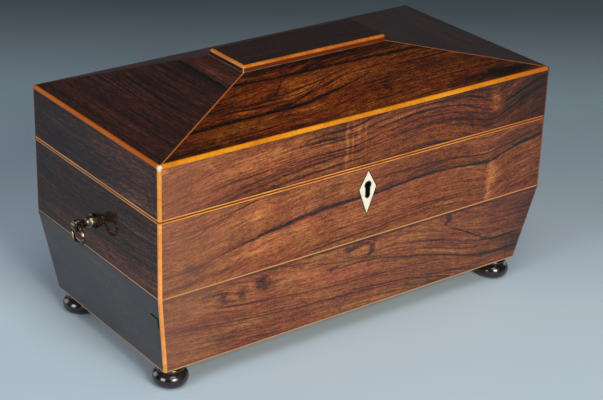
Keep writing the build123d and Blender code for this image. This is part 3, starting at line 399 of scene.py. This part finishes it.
dress(rosewood("rosewood_lid_front", "X", "Z", 2.0, lid_line, veins=lid_veins,
               dark=[(-35, 158, 18, 4, 0.12), (-25, 162, 14, 2, 0.14), (80, 162, 30, 2.5, 0.14),
                     (145, 145, 20, 10, 0.08)],
               light=[(-95, 153, 22, 7, 0.12), (-60, 156, 24, 5, 0.06), (-10, 158, 12, 10, 0.08),
                      (-122, 158, 3, 8, 0.14)],
               stripes=[(-157, 163, 2.4, 2.6, 0.25), (-18, 153, 1.3, 20, 0.22), (-13, 150, 0.8, 18, 0.14),
                        (-8, 156, 1.4, 12, 0.14), (-3, 154, 1.2, 14, 0.1), (110, 156, 3.6, 12, 0.2),
                        (114, 148, 4, 8, 0.14)],
               fall=[(-161, 0.02), (-120, 0.02), (-60, 0.0), (-20, -0.03), (5, -0.05), (40, -0.09),
                     (100, -0.12), (124, -0.19), (161, -0.28)],
               level=0.52, contrast=0.85, waver=2.0, streaks=0.22, coat=0.5,
               edge=(Z_LID + 1.3, Z_EAVE + 0.2), extra=left_end_sheen),
      "lid_front_veneer")

lower_line = [(-161, 49), (-130, 46), (-107, 43), (-85, 40), (-59, 37), (-31, 35), (5, 32), (40, 28),
              (70, 22), (100, 14), (130, 9), (161, 8)]
lower_veins = [
    ([(-121, 56, 0.5), (-100, 53, 0.6), (-70, 49, 0.6), (-40, 45, 0.6), (-5, 42, 0.5), (40, 40, 0.4),
      (70, 36, 0.4)], 0.2, 0, 0),
    ([(-30, 56, 0.4), (-5, 57, 0.7), (20, 54, 0.8), (45, 48, 0.7), (70, 42, 0.7), (95, 34, 0.8),
      (120, 28, 0.8), (145, 27, 1.0), (175, 27, 1.0)], 0.26, 0, 0),
    ([(76, 62, 0.6), (90, 57, 0.7), (104, 49, 0.7), (118, 42, 0.8), (130, 39.5, 1.0), (150, 41, 0.6)],
     0.28, 0, 0),
    ([(-150, 47, 0.4), (-110, 42, 0.5), (-60, 36, 0.5), (-10, 33, 0.5), (40, 30, 0.4), (80, 24, 0.5),
      (120, 21, 0.5)], 0.16, 0, 0),
    ([(-20, 66, 0.4), (0, 60, 0.6), (20, 56, 0.4), (40, 52, 0.3)], 0.18, 0, 0),
    ([(-150, 33, 0.4), (-80, 27, 0.4), (-10, 24, 0.5), (60, 20, 0.4)], 0.12, 0, 0)]
dress(rosewood("rosewood_lower_front", "X", "Z", 3.0, lower_line, veins=lower_veins,
               eyes=[(-92, 64, 42, 20, 0.75), (0, 70, 30, 16, 0.7), (78, 68, 18, 12, 0.6)],
               dark=[(-84, 66, 6, 5, 0.6), (-79, 61, 6, 3, 0.6), (-97, 62, 3, 5, 0.4), (-114, 64, 3, 6, 0.5),
                     (-108, 58, 5, 2, 0.4), (-68, 62, 7, 1.6, 0.45), (-24, 59, 6, 2, 0.5),
                     (-6, 71, 10, 2.6, 0.65), (8, 67, 2.8, 5, 0.6), (5, 61, 4, 1.6, 0.45),
                     (76, 69, 2.8, 3.6, 0.6), (145, 30, 16, 8, 0.16), (130, 65, 30, 3, 0.05),
                     (-130, 48, 26, 5, 0.1), (-60, 30, 60, 4, 0.06)],
               light=[(-60, 62, 18, 6, 0.06), (-40, 55, 16, 4, 0.05), (-130, 60, 14, 6, 0.05),
                      (40, 62, 20, 5, 0.05)],
               fall=[(-161, -0.02), (-120, 0.02), (-60, 0.05), (0, 0.05), (60, -0.02), (110, -0.04),
                     (161, -0.17)],
               level=0.535, contrast=0.85, warmth=0.012, coat=0.8, edge=(Z_BASE + 1.2, Z_WAIST - 2.2),
               extra=left_end_sheen),
      "lower_front_veneer")

roof_line = [(-161, -62), (-124, -59.6), (-93, -58.8), (-75, -58.6), (-57, -57.2), (-44, -57.6),
             (-30, -56.4), (-11, -53.2), (7, -49.5), (40, -47), (80, -46), (161, -46)]
roof_veins = [
    ([(-140, -60, 0.6), (-124, -59.6, 0.9), (-93, -59, 1.0), (-70, -58.8, 0.9), (-48, -58.6, 1.0),
      (-34, -58, 0.8), (-20, -55, 0.7), (-5, -52.5, 0.5), (14, -48, 0.4), (30, -44, 0.3)], 0.42, 0, 0),
    ([(-90, -29, 0.8), (-66, -30, 1.0), (-44, -31, 0.8), (0, -31.4, 0.8), (40, -32, 0.8), (84, -33, 1.0),
      (120, -36, 1.0)], 0.3, 6.0, 0.12),
    ([(-66, -57, 0.4), (-56, -56, 1.2), (-44, -55, 0.9), (-28, -50, 0.3), (-14, -44, 0.3), (-4, -38, 0.3)],
     0.32, 0, 0),
    ([(-60, -48, 0.3), (-50, -44, 0.5), (-43, -38, 0.6), (-38, -34, 0.4), (-30, -31, 0.3)], 0.24, 0, 0),
    ([(-30, -62, 0.4), (0, -58, 0.4), (20, -54, 0.3), (50, -52, 0.3)], 0.14, 0, 0)]
dress(rosewood("rosewood_roof_front", "X", "Y", 4.0, roof_line, veins=roof_veins,
               eyes=[(-50, -45, 40, 16, 0.5)],
               # The patch at (0, -21) along the foot of the cap is painted shade under the cap.
               dark=[(-100, -77, 50, 2.6, 0.16), (0, -77, 60, 2.4, 0.12), (120, -72, 40, 4, 0.5),
                     (30, -60, 3, 4, 0.34), (0, -21, 90, 5, 0.6), (80, -40, 30, 3, 0.08),
                     (-20, -63, 3, 1.4, 0.2), (-4, -66, 3, 1.4, 0.2), (18, -66, 3, 1.2, 0.2)],
               light=[(-68, -42, 16, 6, 0.12), (-30, -42, 14, 6, 0.18), (-95, -66, 30, 4, 0.12),
                      (-85, -53, 16, 2.4, 0.16), (-45, -50, 14, 3, 0.16), (-30, -64, 20, 3, 0.12),
                      (16, -46, 25, 5, 0.08), (60, -56, 40, 6, 0.03)],
               fall=[(-161, -0.12), (-100, -0.04), (-40, 0.05), (20, 0.03), (80, -0.02), (161, -0.14)],
               level=0.43, contrast=1.0, tones=DARK_TONES, streaks=0.2, coat=0.4,
               edge=(-HALF_DEPTH + STRING, -CAP_HALF_DEPTH - 0.2)),
      "roof_front_veneer")

back_line = [(-161, 70), (-60, 78), (40, 74), (161, 86)]
dress(rosewood("rosewood_back", "X", "Z", 11.0, back_line, level=0.44),
      "upper_back_veneer", "lower_back_veneer", "lid_back_veneer")
dress(rosewood("rosewood_roof_back", "X", "Y", 12.0, level=0.36), "roof_back_veneer")

# The ends and the cap are cut from darker wood, near black with reddish streaks under the same polish.
END_TONES = [(0.0, "080505"), (0.25, "130b09"), (0.45, "24130e"), (0.6, "3c1f16"), (0.8, "603423"),
             (1.0, "7a4a33")]
end_line = [(-79, 92), (-40, 90), (0, 88), (40, 88), (79, 90)]
dress(rosewood("rosewood_ends", "Y", "Z", 21.0, end_line,
               dark=[(20, 112, 70, 16, 0.06), (30, 148, 60, 20, 0.12)],
               light=[(0, 84, 80, 7, 0.2), (-30, 155, 34, 6, 0.1), (-52, 134, 14, 3, 0.22),
                      (-20, 145, 50, 10, 0.06), (-60, 100, 16, 8, 0.12), (-50, 66, 40, 5, 0.05)],
               fall=[(-79, 0.09), (-50, 0.05), (0, 0.0), (79, -0.04)],
               level=0.44, contrast=1.6, tones=END_TONES, shimmer=0.06, streaks=0.2, coat=0.38),
      "upper_end_veneers", "lid_end_veneers")
dress(rosewood("rosewood_splayed_ends", "Y", "Z", 27.0, level=0.36, contrast=1.1, tones=END_TONES,
               shimmer=0.06, coat=0.74, cracks=[(-69, 59.3, 4.6, 0.8, 1.0), (-73.2, 55.6, 0.9, 4.0, 1.0)]),
      "lower_end_veneers")
roof_end_veins = [([(-50, -79, 0.6), (0, -78, 0.9), (50, -77, 0.6)], 0.3, -6.0, 0.2)]
dress(rosewood("rosewood_roof_ends", "Y", "X", 22.0, veins=roof_end_veins, light=[(0, -71, 60, 6, 0.14)],
               level=0.5, contrast=0.8, tones=END_TONES, shimmer=0.06, coat=0.7),
      "roof_end_veneers")
dress(rosewood("rosewood_cap", "X", "Y", 23.0, level=0.44, contrast=0.6, tones=END_TONES, shimmer=0.06,
               coat=0.75),
      "cap_veneer")


# ---- stringing --------------------------------------------------------------------------
# Boxwood lines under old French polish: an even yellow wood that the polish has turned
# orange, with fine grain, nicks and dirt in its pores. Its grain is finer than shows and is
# drawn in flecks of 1.5 mm.
def boxwood(name, tones, shade=None, coat=0.5, shine=0.2):
    """Polished boxwood with these tones, and a shade for its dirt, wear and painted light and shade."""
    g = Surface(name, seed=31.0)
    fine = g.mottle(g.flat, (1.5, 1.5, 1), 2.0, 0.6)
    slow = g.mottle(g.flat, (26, 18, 1), 3.0, 0.6)
    tone = add(g.tree, "Math", (fine, 0.5, -0.25), operation="MULTIPLY_ADD")
    tone = add(g.tree, "Math", (slow, tone), operation="ADD")
    colour = add(g.tree, "ValToRGB", (tone,), stops=tones)
    specks = g.mottle(g.flat, (1.2, 1.2, 1), 2.0, 0.6, 4.0)
    speck = add(g.tree, "MapRange", (specks, 0.66, 0.78, 0.0, 0.7), **SMOOTH)
    colour = add(g.tree, "Mix", {0: speck, 6: colour, 7: "6b3410"}, **BLEND)
    if shade:
        colour = shade(g, colour)
    bump = add(g.tree, "Bump", {"Strength": 0.3, "Distance": 0.08 * MM, "Height": fine})
    fill(g.shader, {**POLISH, "Base Color": colour, "Roughness": 0.45, "Normal": bump, "Coat Weight": coat,
                    "Specular IOR Level": shine, "Coat Roughness": 0.12})
    return g.made


REDDER = 60  # painted shade reddens the front lines from here to their right end


def far_side(g):
    """How far round a place is: 0 on the front, up to 0.5 at its right end, 1 on the right and the back."""
    right = add(g.tree, "MapRange", (g.u, REDDER, HALF_LENGTH, 0.0, 0.5), **SMOOTH)
    inner, outer = HALF_LENGTH - STRING - BESIDE, HALF_LENGTH - STRING - 0.1
    round_right = add(g.tree, "MapRange", (g.u, inner, outer))
    inner, outer = HALF_DEPTH - STRING - BESIDE, HALF_DEPTH - STRING - 0.1
    back = add(g.tree, "MapRange", (g.w, inner, outer))
    most = add(g.tree, "Math", (round_right, back), operation="MAXIMUM")
    return add(g.tree, "Math", (most, right), operation="MAXIMUM")


def far_side_shade(g, colour):
    """Painted shade: the lines redden toward the right end of the front, and are brown on the right and the
    back.
    """
    share = far_side(g)
    warm = add(g.tree, "MapRange", (share, 0.0, 0.5))
    colour = add(g.tree, "Mix", {0: warm, 6: colour, 7: "9c5212"}, **BLEND)
    brown = add(g.tree, "MapRange", (share, 0.5, 1.0, 0.0, 0.92))
    return add(g.tree, "Mix", {0: brown, 6: colour, 7: "3c2014"}, **BLEND)


def worn_corner(g, colour):
    """The front left corner of the eave has been knocked: its polish is gone and the wood is pale."""
    knock = (-HALF_LENGTH, -HALF_DEPTH, Z_EAVE + 1.4)
    place = add(g.tree, "CombineXYZ", (g.u, g.w, g.v))
    off = add(g.tree, "VectorMath", (place, knock), out=1, operation="DISTANCE")
    frayed = g.mottle(g.flat, (2.0, 2.0, 1))
    off = add(g.tree, "Math", (frayed, 2.4, off), operation="MULTIPLY_ADD")
    share = add(g.tree, "MapRange", (off, 2.4, 4.8, 0.9, 0.0), **SMOOTH)
    return add(g.tree, "Mix", {0: share, 6: colour, 7: "c8b99f"}, **BLEND)


def corner_shade(g, colour):
    """Painted shade: the far corner lines are dark brown, and only the near one shows the boxwood's own
    colour.
    """
    right = add(g.tree, "MapRange", (g.u, -20, 20, 0.0, 0.8))
    back = add(g.tree, "MapRange", (g.w, -20, 20, 0.0, 0.8))
    share = add(g.tree, "Math", (right, back), operation="MAXIMUM")
    return add(g.tree, "Mix", {0: share, 6: colour, 7: "40261a"}, **BLEND)


def seam_dirt_and_shade(g, colour):
    """Dark dirt on both sides of the seam between case and lid, on lines with painted shade toward the far
    side.
    """
    off = add(g.tree, "Math", (g.v, Z_SEAM), operation="SUBTRACT")
    off = add(g.tree, "Math", (off,), operation="ABSOLUTE")
    share = add(g.tree, "MapRange", (off, 0.3, 0.85, 0.97, 0.0), **SMOOTH)
    colour = add(g.tree, "Mix", {0: share, 6: far_side_shade(g, colour), 7: "6a2203"}, **BLEND)
    return worn_corner(g, colour)


PALE, PALE_END = Z_WAIST + 4, Z_WAIST + 16  # lines are paler up to here, and as before from here
LEFT_END = -HALF_LENGTH + 11  # the left end's lines are left of this, also where the end slopes in


def level_tones(g, colour):
    """The rim line is dirty, the waist and base lines are paler, all have painted shade toward the far side,
    and the left end's lines a painted grey sheen that grows toward the back.
    """
    pale = add(g.tree, "MapRange", (g.v, PALE, PALE_END, 0.75, 0.0))
    colour = add(g.tree, "Mix", {0: pale, 6: seam_dirt_and_shade(g, colour), 7: "a8774a"}, **BLEND)
    # Painted sheen: the left end's lines are greyed, more toward the back.
    left = add(g.tree, "MapRange", (g.u, LEFT_END + 1, LEFT_END))
    back = add(g.tree, "MapRange", (g.w, -HALF_DEPTH, HALF_DEPTH, 0.1, 0.75))
    grey = add(g.tree, "Math", (left, back), operation="MULTIPLY")
    return add(g.tree, "Mix", {0: grey, 6: colour, 7: "54443a"}, **BLEND)


def hips(g, colour):
    """The hip lines are brown, and a dark line runs along the eave line's inner edge. Painted shade darkens
    the far side, the back hips and the eave line's left end.
    """
    x = add(g.tree, "Math", (g.u,), operation="ABSOLUTE")
    x = add(g.tree, "Math", (x, HALF_LENGTH), operation="SUBTRACT")
    y = add(g.tree, "Math", (g.w,), operation="ABSOLUTE")
    y = add(g.tree, "Math", (y, HALF_DEPTH), operation="SUBTRACT")
    inside = add(g.tree, "Math", (x, y), operation="MAXIMUM")
    colour = far_side_shade(g, colour)
    # Painted shade: the eave line is darker over the left end.
    side = add(g.tree, "MapRange", (g.u, -HALF_LENGTH + 3, -HALF_LENGTH + 1, 0.0, 0.85))
    colour = add(g.tree, "Mix", {0: side, 6: colour, 7: "8c3e04"}, **BLEND)
    inner_line_dark = add(g.tree, "MapRange", (inside, -STRING, -STRING + 0.8, 0.9, 0.0), **SMOOTH)
    colour = add(g.tree, "Mix", {0: inner_line_dark, 6: colour, 7: "5a2808"}, **BLEND)
    hip = add(g.tree, "MapRange", (inside, -STRING - 0.2, -STRING - 0.05, 1.0, 0.0))
    # Painted shade: the back hips are a darker brown than the front ones.
    back = add(g.tree, "MapRange", (g.w, 0.0, 20.0))
    brown = add(g.tree, "Mix", {0: back, 6: "8a4c20", 7: "33201a"}, **BLEND)
    colour = add(g.tree, "Mix", {0: hip, 6: colour, 7: brown}, **BLEND)
    return worn_corner(g, colour)


def cap_corner_highlight(g, colour):
    """A painted highlight: the cap's front left corner is pale."""
    x = add(g.tree, "Math", (g.u, CAP_HALF_LENGTH), operation="ADD")
    y = add(g.tree, "Math", (g.w, CAP_HALF_DEPTH), operation="ADD")
    place = add(g.tree, "CombineXYZ", (x, y, 0.0))
    off = add(g.tree, "VectorMath", (place,), out=1, operation="LENGTH")
    share = add(g.tree, "MapRange", (off, 0.4, 1.1, 0.8, 0.0), **SMOOTH)
    return add(g.tree, "Mix", {0: share, 6: colour, 7: "b9a084"}, **BLEND)


def cap_edge_light(g, colour):
    """Painted light: the front edge of the cap is red-brown where the light falls on it, and the other sides
    are nearly black.
    """
    inner, outer = -CAP_HALF_DEPTH + STRING + BESIDE, -CAP_HALF_DEPTH + STRING - 0.2
    # Painted light: the front face is red-brown, the others stay nearly black.
    front = add(g.tree, "MapRange", (g.w, inner, outer, 0.0, 0.85))
    colour = add(g.tree, "Mix", {0: front, 6: colour, 7: "5c2208"}, **BLEND)
    return cap_corner_highlight(g, colour)


def cap_lines(g, colour):
    """The line round the cap is orange above and red-brown below, and its far lines have painted shade. The
    one at its foot has a broken painted glint.
    """
    under = Z_TOP - STRING
    low = add(g.tree, "MapRange", (g.v, under + 0.1, under + 1.0, 0.97, 0.0), **SMOOTH)
    colour = add(g.tree, "Mix", {0: low, 6: colour, 7: "5a2408"}, **BLEND)
    # Painted shade: the right and back lines are nearly black.
    inner, outer = CAP_HALF_LENGTH - STRING - BESIDE, CAP_HALF_LENGTH - STRING
    right = add(g.tree, "MapRange", (g.u, inner, outer, 0.0, 0.95))
    inner, outer = CAP_HALF_DEPTH - STRING - BESIDE, CAP_HALF_DEPTH - STRING
    back = add(g.tree, "MapRange", (g.w, inner, outer, 0.0, 0.95))
    far = add(g.tree, "Math", (right, back), operation="MAXIMUM")
    colour = add(g.tree, "Mix", {0: far, 6: colour, 7: "2a1812"}, **BLEND)
    # Painted glint: the foot line is grey-white in broken patches.
    foot = Z_CAP + CAP_FOOT
    foot_glint = add(g.tree, "MapRange", (g.v, foot - 0.1, foot + 0.3, 1.0, 0.0))
    broken = g.mottle(g.flat, (16, 16, 1), 3.0, 0.6, 8.0)
    broken = add(g.tree, "MapRange", (broken, 0.4, 0.6, 0.2, 0.9), **SMOOTH)
    foot_glint = add(g.tree, "Math", (foot_glint, broken), operation="MULTIPLY")
    colour = add(g.tree, "Mix", {0: foot_glint, 6: colour, 7: "584e46"}, **BLEND)
    return cap_corner_highlight(g, colour)


ORANGE = [(0.25, "9c560a"), (0.5, "b67010"), (0.75, "c9861c")]
BROWNED = [(0.25, "86460c"), (0.5, "a45c14"), (0.75, "bc7624")]
HONEY = [(0.25, "a06018"), (0.5, "b87624"), (0.75, "ca8836")]
TAN = [(0.25, "b2692a"), (0.5, "ca7e36"), (0.75, "dc9450")]
dress(boxwood("boxwood_eave", ORANGE, hips, 0.12, 0.05), "roof_stringing")
dress(boxwood("boxwood_lid", HONEY, seam_dirt_and_shade), "lid_edge_stringing")
dress(boxwood("boxwood_corners", TAN, corner_shade), "case_corner_stringing")
dress(boxwood("boxwood_lines", HONEY, level_tones), "case_line_stringing")
dress(boxwood("boxwood_cap", BROWNED, cap_lines, 0.25, 0.1), "cap_stringing")
# The veneer on the cap's edge is rosewood too, the darkest of all and nearly bare of polish.
# Its front face has painted light, and its front left corner a painted highlight.
dress(rosewood("rosewood_cap_edge", "X", "Z", 26.0, level=0.12, contrast=0.5, coat=0.1, extra=cap_edge_light),
      "cap_board")


# ---- feet, metal, bone ------------------------------------------------------------------
def plain(name, colour, other, size, rough, values, amount=0.5, bump=0.0, shade=None):
    """A finish whose tone and roughness vary in patches of this size, with bumps of this height in mm."""
    g = Surface(name, seed=41.0)
    patch = g.mottle(g.flat, (size, size, 1), 4.0, 0.6)
    share = add(g.tree, "MapRange", (patch, 0.5 - amount / 2, 0.5 + amount / 2), **SMOOTH)
    tint = add(g.tree, "Mix", {0: share, 6: colour, 7: other}, **BLEND)
    if shade:
        tint = shade(g, tint)
    dull = add(g.tree, "MapRange", (patch, 0.3, 0.7, *rough), **SMOOTH)
    fill(g.shader, {"Base Color": tint, "Roughness": dull, **values})
    if bump:
        height = g.mottle(g.flat, (size / 3, size / 3, 1), 3.0, 0.6, 3.0)
        normal = add(g.tree, "Bump", {"Strength": 0.4, "Distance": bump * MM, "Height": height})
        fill(g.shader, {"Normal": normal})
    return g.made


KEY_GRIME, KEY_CLEAN = 2.3, 2.9  # from the slot's middle line, with up to 0.8 added where it is rubbed


def keyhole_grime_and_shade(g, colour):
    """The walls of the keyhole are black with painted shade, and its rubbed edge is black with grime."""
    # Painted shade: the walls inside the keyhole are black.
    deep = add(g.tree, "MapRange", (g.w, -HALF_DEPTH - 0.04, -HALF_DEPTH + 0.1), **SMOOTH)
    rubbed = g.mottle(g.flat, (1.6, 1.6, 1))
    across = add(g.tree, "Math", (g.u, LOCK_X), operation="SUBTRACT")
    high = add(g.tree, "Math", (g.v, KITE_HIGH[2] - KEY_DROP), operation="SUBTRACT")
    place = add(g.tree, "CombineXYZ", (across, high, 0.0))
    head = add(g.tree, "VectorMath", (place,), out=1, operation="LENGTH")
    head = add(g.tree, "Math", (head, KEY_HEAD), operation="SUBTRACT")
    along = add(g.tree, "Math", (high, KEY_SLOT / 2), operation="ADD")
    along = add(g.tree, "Math", (along,), operation="ABSOLUTE")
    along = add(g.tree, "Math", (along, KEY_SLOT / 2), operation="SUBTRACT")
    along = add(g.tree, "Math", (along, 0.0), operation="MAXIMUM")
    place = add(g.tree, "CombineXYZ", (across, along, 0.0))
    slot = add(g.tree, "VectorMath", (place,), out=1, operation="LENGTH")
    off = add(g.tree, "Math", (head, slot), operation="MINIMUM")
    off = add(g.tree, "Math", (rubbed, 0.8, off), operation="MULTIPLY_ADD")
    edge = add(g.tree, "MapRange", (off, KEY_GRIME, KEY_CLEAN, 0.97, 0.0), **SMOOTH)
    shade_and_grime = add(g.tree, "Math", (deep, edge), operation="MAXIMUM")
    return add(g.tree, "Mix", {0: shade_and_grime, 6: colour, 7: "070504"}, **BLEND)


# Ebonised beech: stained black and polished, with a hint of brown where it has worn.
dress(plain("ebonised_beech", "0b0a0a", "24140d", 5.0, (0.12, 0.3),
            {"IOR": 1.5, "Coat Weight": 0.4, "Coat Roughness": 0.05}, bump=0.05),
      "foot_front_left", "foot_front_right", "foot_back_left", "foot_back_right")
# Cast and turned brass, a century and more without polish: dull greenish gold with brown patina.
dress(plain("aged_brass", "8c8069", "2b1e13", 2.0, (0.22, 0.42), {"Metallic": 1.0}, 0.3, 0.05),
      "handle_posts", "handle_nuts", "ring_left", "ring_right")
# Rolled and cut brass, shut away from the air: still yellow, a little browned in patches.
dress(plain("hinge_brass", "b8923f", "8a6a30", 5.0, (0.3, 0.45), {"Metallic": 1.0}, 0.5, 0.02),
      "case_screws", "case_hinge_leaves", "lid_hinge_pins", "lid_hinge_leaves", "lid_screws", "link_plate",
      "lock_case", "lock_bolt", "canister_hinge_leaves", "canister_leaf_left", "canister_leaf_right")
# Bone, sawn thin or turned, and polished: cream, with faint darker flecks.
BONE = ("d5d2c2", "c8bfa4", 3.0, (0.3, 0.42), {"IOR": 1.54}, 0.8, 0.01)
dress(plain("polished_bone", *BONE, shade=keyhole_grime_and_shade), "escutcheon")
dress(plain("turned_bone", *BONE), "canister_knob_left", "canister_knob_right")


# ---- the plain woods and the inside ------------------------------------------------------
# Planed pine and cedar, unpolished: bands of pale and darker growth with fine lines along
# them, and no shine. The lid's pine has been stained brown.
KEYHOLE_SHADE = (LOCK_X, Z_RIM - 16, 9, 14)  # middle and half sizes of the painted shade inside the keyhole, on the board


def plainwood(name, along, across, tones, seed):
    """Planed boards, stained along the seam, black in the lines' grooves, and black with painted shade
    inside the keyhole.
    """
    g = Surface(name, along, across, seed, waver=6.0)
    rings = g.mottle(g.grain, (160, 5, 1), 3.0)
    lines = g.mottle(g.grain, (30, 0.9, 1), shift=4.0)
    tone = add(g.tree, "Math", (rings, 0.7), operation="MULTIPLY")
    tone = add(g.tree, "Math", (lines, 0.3, tone), operation="MULTIPLY_ADD")
    colour = add(g.tree, "ValToRGB", (tone,), stops=tones)
    if across == "Z":
        off = add(g.tree, "Math", (g.v, Z_SEAM), operation="SUBTRACT")
        off = add(g.tree, "Math", (off,), operation="ABSOLUTE")
        stain = add(g.tree, "MapRange", (off, 0.3, 0.6, 1.0, 0.0))
        colour = add(g.tree, "Mix", {0: stain, 6: colour, 7: "3a1c10"}, **BLEND)
        groove = (HALF_DEPTH if along == "X" else HALF_LENGTH) - STRING
        outer = add(g.tree, "Math", (g.w,), operation="ABSOLUTE")
        outer = add(g.tree, "MapRange", (outer, groove - BESIDE, groove))
        colour = add(g.tree, "Mix", {0: outer, 6: colour, 7: "1a100b"}, **BLEND)
    # Painted shade: the board is black round the keyhole, where its walls show through the plate.
    if along == "X" and across == "Z":
        hole = g.patch(g.flat, *KEYHOLE_SHADE)
        hole = add(g.tree, "MapRange", (hole, 0.1, 0.4), **SMOOTH)
        front = add(g.tree, "MapRange", (g.w, Y_INSIDE, Y_INSIDE - 1))
        hole = add(g.tree, "Math", (hole, front), operation="MULTIPLY")
        colour = add(g.tree, "Mix", {0: hole, 6: colour, 7: "060403"}, **BLEND)
    fill(g.shader, {"Base Color": colour, "Roughness": 0.55, "IOR": 1.45})
    return g.made


PINE = [(0.3, "9c7440"), (0.5, "b88f56"), (0.7, "c8a36a")]
CEDAR = [(0.3, "5c2a16"), (0.5, "7a3c20"), (0.7, "8f4d2a")]
STAINED = [(0.3, "4c2413"), (0.5, "61311b"), (0.7, "75412a")]
dress(plainwood("pine", "X", "Z", PINE, 51.0), "case_front_board", "case_back_board")
dress(plainwood("pine_ends", "Y", "Z", PINE, 52.0), "case_left_board", "case_right_board")
dress(plainwood("stained_pine", "X", "Z", STAINED, 56.0), "lid_front_board", "lid_back_board")
dress(plainwood("stained_pine_ends", "Y", "Z", STAINED, 57.0), "lid_end_boards")
dress(plainwood("pine_flat", "X", "Y", PINE, 53.0), "base_board", "lid_roof_boards")
dress(plainwood("cedar", "X", "Z", CEDAR, 54.0), "lining_boards")
dress(plainwood("cedar_partitions", "Y", "Z", CEDAR, 55.0), "well_partitions")
dress(rosewood("rosewood_deck", "X", "Y", 24.0, level=0.5),
      "well_deck", "canister_lid_left", "canister_lid_right")
dress(rosewood("rosewood_canisters", "Y", "Z", 25.0, level=0.45), "canister_left", "canister_right")
# Silk velvet, glued to its board: deep crimson, matt, with a soft light edge from its pile.
dress(plain("silk_velvet", "4a1016", "38090f", 8.0, (0.9, 1.0),
            {"Sheen Weight": 0.8, "Sheen Roughness": 0.4}),
      "lid_ceiling")
# Lead foil, rubbed down by hand: soft blue-grey, dull, with shallow dents.
dress(plain("lead_foil", "8d8f92", "6c6e70", 4.0, (0.35, 0.5), {"Metallic": 1.0}, 0.6, 0.3),
      "canister_foils")
# Blown glass: clear with a faint green cast, and nearly smooth.
dress(plain("blown_glass", "f2f6f4", "e8f0ec", 30.0, (0.02, 0.04),
            {"Transmission Weight": 1.0, "IOR": 1.52}),
      "mixing_bowl")


# ---- floor and light --------------------------------------------------------------------
# Metres from here on. The floor is paper, matt and pale in front, with painted shade that darkens it into
# the distance.
FLOOR = 8.0
FLOOR_TURN = 36  # degrees between its painted fall of tone and straight ahead
FLOOR_TONES = [(0.0, "a7b7c1"), (0.22, "a4b3bf"), (0.3, "a8b6c0"), (0.35, "9facb9"), (0.4, "919ea8"),
               (0.46, "86949f"), (0.54, "7c8c96"), (0.62, "626e76"), (0.68, "4a565c"), (1.0, "1f2529")]
FLOOR_NEAR, FLOOR_FAR = -0.5, 1.2  # where its tones begin and end
FLOOR_CLOUD = 0.04  # soft clouds in the paper shift them by this much
AIM = Vector((0, 0, 0.08))  # what the lamps point at
# Each lamp's turn round the box from straight in front, its height, distance, size, power and colour.
LAMPS = {"key_lamp": (9, 0.75, 1.5, 0.8, 30, "fffaf2"), "fill_lamp": (79, 0.6, 1.5, 0.8, 14, "f4f8ff"),
         "top_lamp": (20, 1.6, 0.7, 0.9, 10, "ffffff"), "back_lamp": (146, 0.5, 1.7, 1.1, 7, "f4f8ff"),
         "right_lamp": (262, 0.8, 1.8, 1.2, 5, "f4f8ff")}
ROOM, ROOM_STRENGTH = "84949e", 0.19


def floor():
    """A pale paper sweep, with painted shade that darkens it into the distance."""
    bpy.ops.object.select_all(action="DESELECT")
    bpy.ops.mesh.primitive_plane_add(size=FLOOR, location=(0, 0, 0))
    plane = bpy.context.object
    plane.name = "studio_floor"
    made, tree, shader = blank("backdrop_paper")
    place = add(tree, "TexCoord", out="Object")
    turned = add(tree, "Mapping", (place, (0, 0, 0), (0, 0, math.radians(FLOOR_TURN))))
    depth = add(tree, "SeparateXYZ", (turned,), out=1)
    cloud = add(tree, "TexNoise", {"Vector": place, "Scale": 9.0, "Detail": 4.0, "Roughness": 0.6})
    depth = add(tree, "Math", (cloud, FLOOR_CLOUD, depth), operation="MULTIPLY_ADD")
    share = add(tree, "MapRange", (depth, FLOOR_NEAR, FLOOR_FAR))
    colour = add(tree, "ValToRGB", (share,), stops=FLOOR_TONES)
    fill(shader, {"Base Color": colour, "Roughness": 0.85, "Specular IOR Level": 0.2})
    plane.data.materials.append(made)


def light():
    """Soft lamps and a dim room."""
    for name, (azimuth, high, away, size, power, tint) in LAMPS.items():
        lamp = bpy.data.lights.new(name, "AREA")
        lamp.shape, lamp.size, lamp.size_y = "RECTANGLE", size * 0.8, size
        lamp.energy, lamp.color = power, linear(tint)[:3]
        made = bpy.data.objects.new(name, lamp)
        turn = math.radians(azimuth)
        made.location = (-math.sin(turn) * away, -math.cos(turn) * away, high)
        made.rotation_mode = "QUATERNION"
        made.rotation_quaternion = (AIM - made.location).to_track_quat("-Z", "Y")
        bpy.context.scene.collection.objects.link(made)
    world = bpy.data.worlds.new("room")
    bpy.context.scene.world = world
    world.use_nodes = True
    fill(world.node_tree.nodes["Background"], (ROOM, ROOM_STRENGTH))
    bpy.context.scene.view_settings.view_transform = "Standard"


floor()
light()
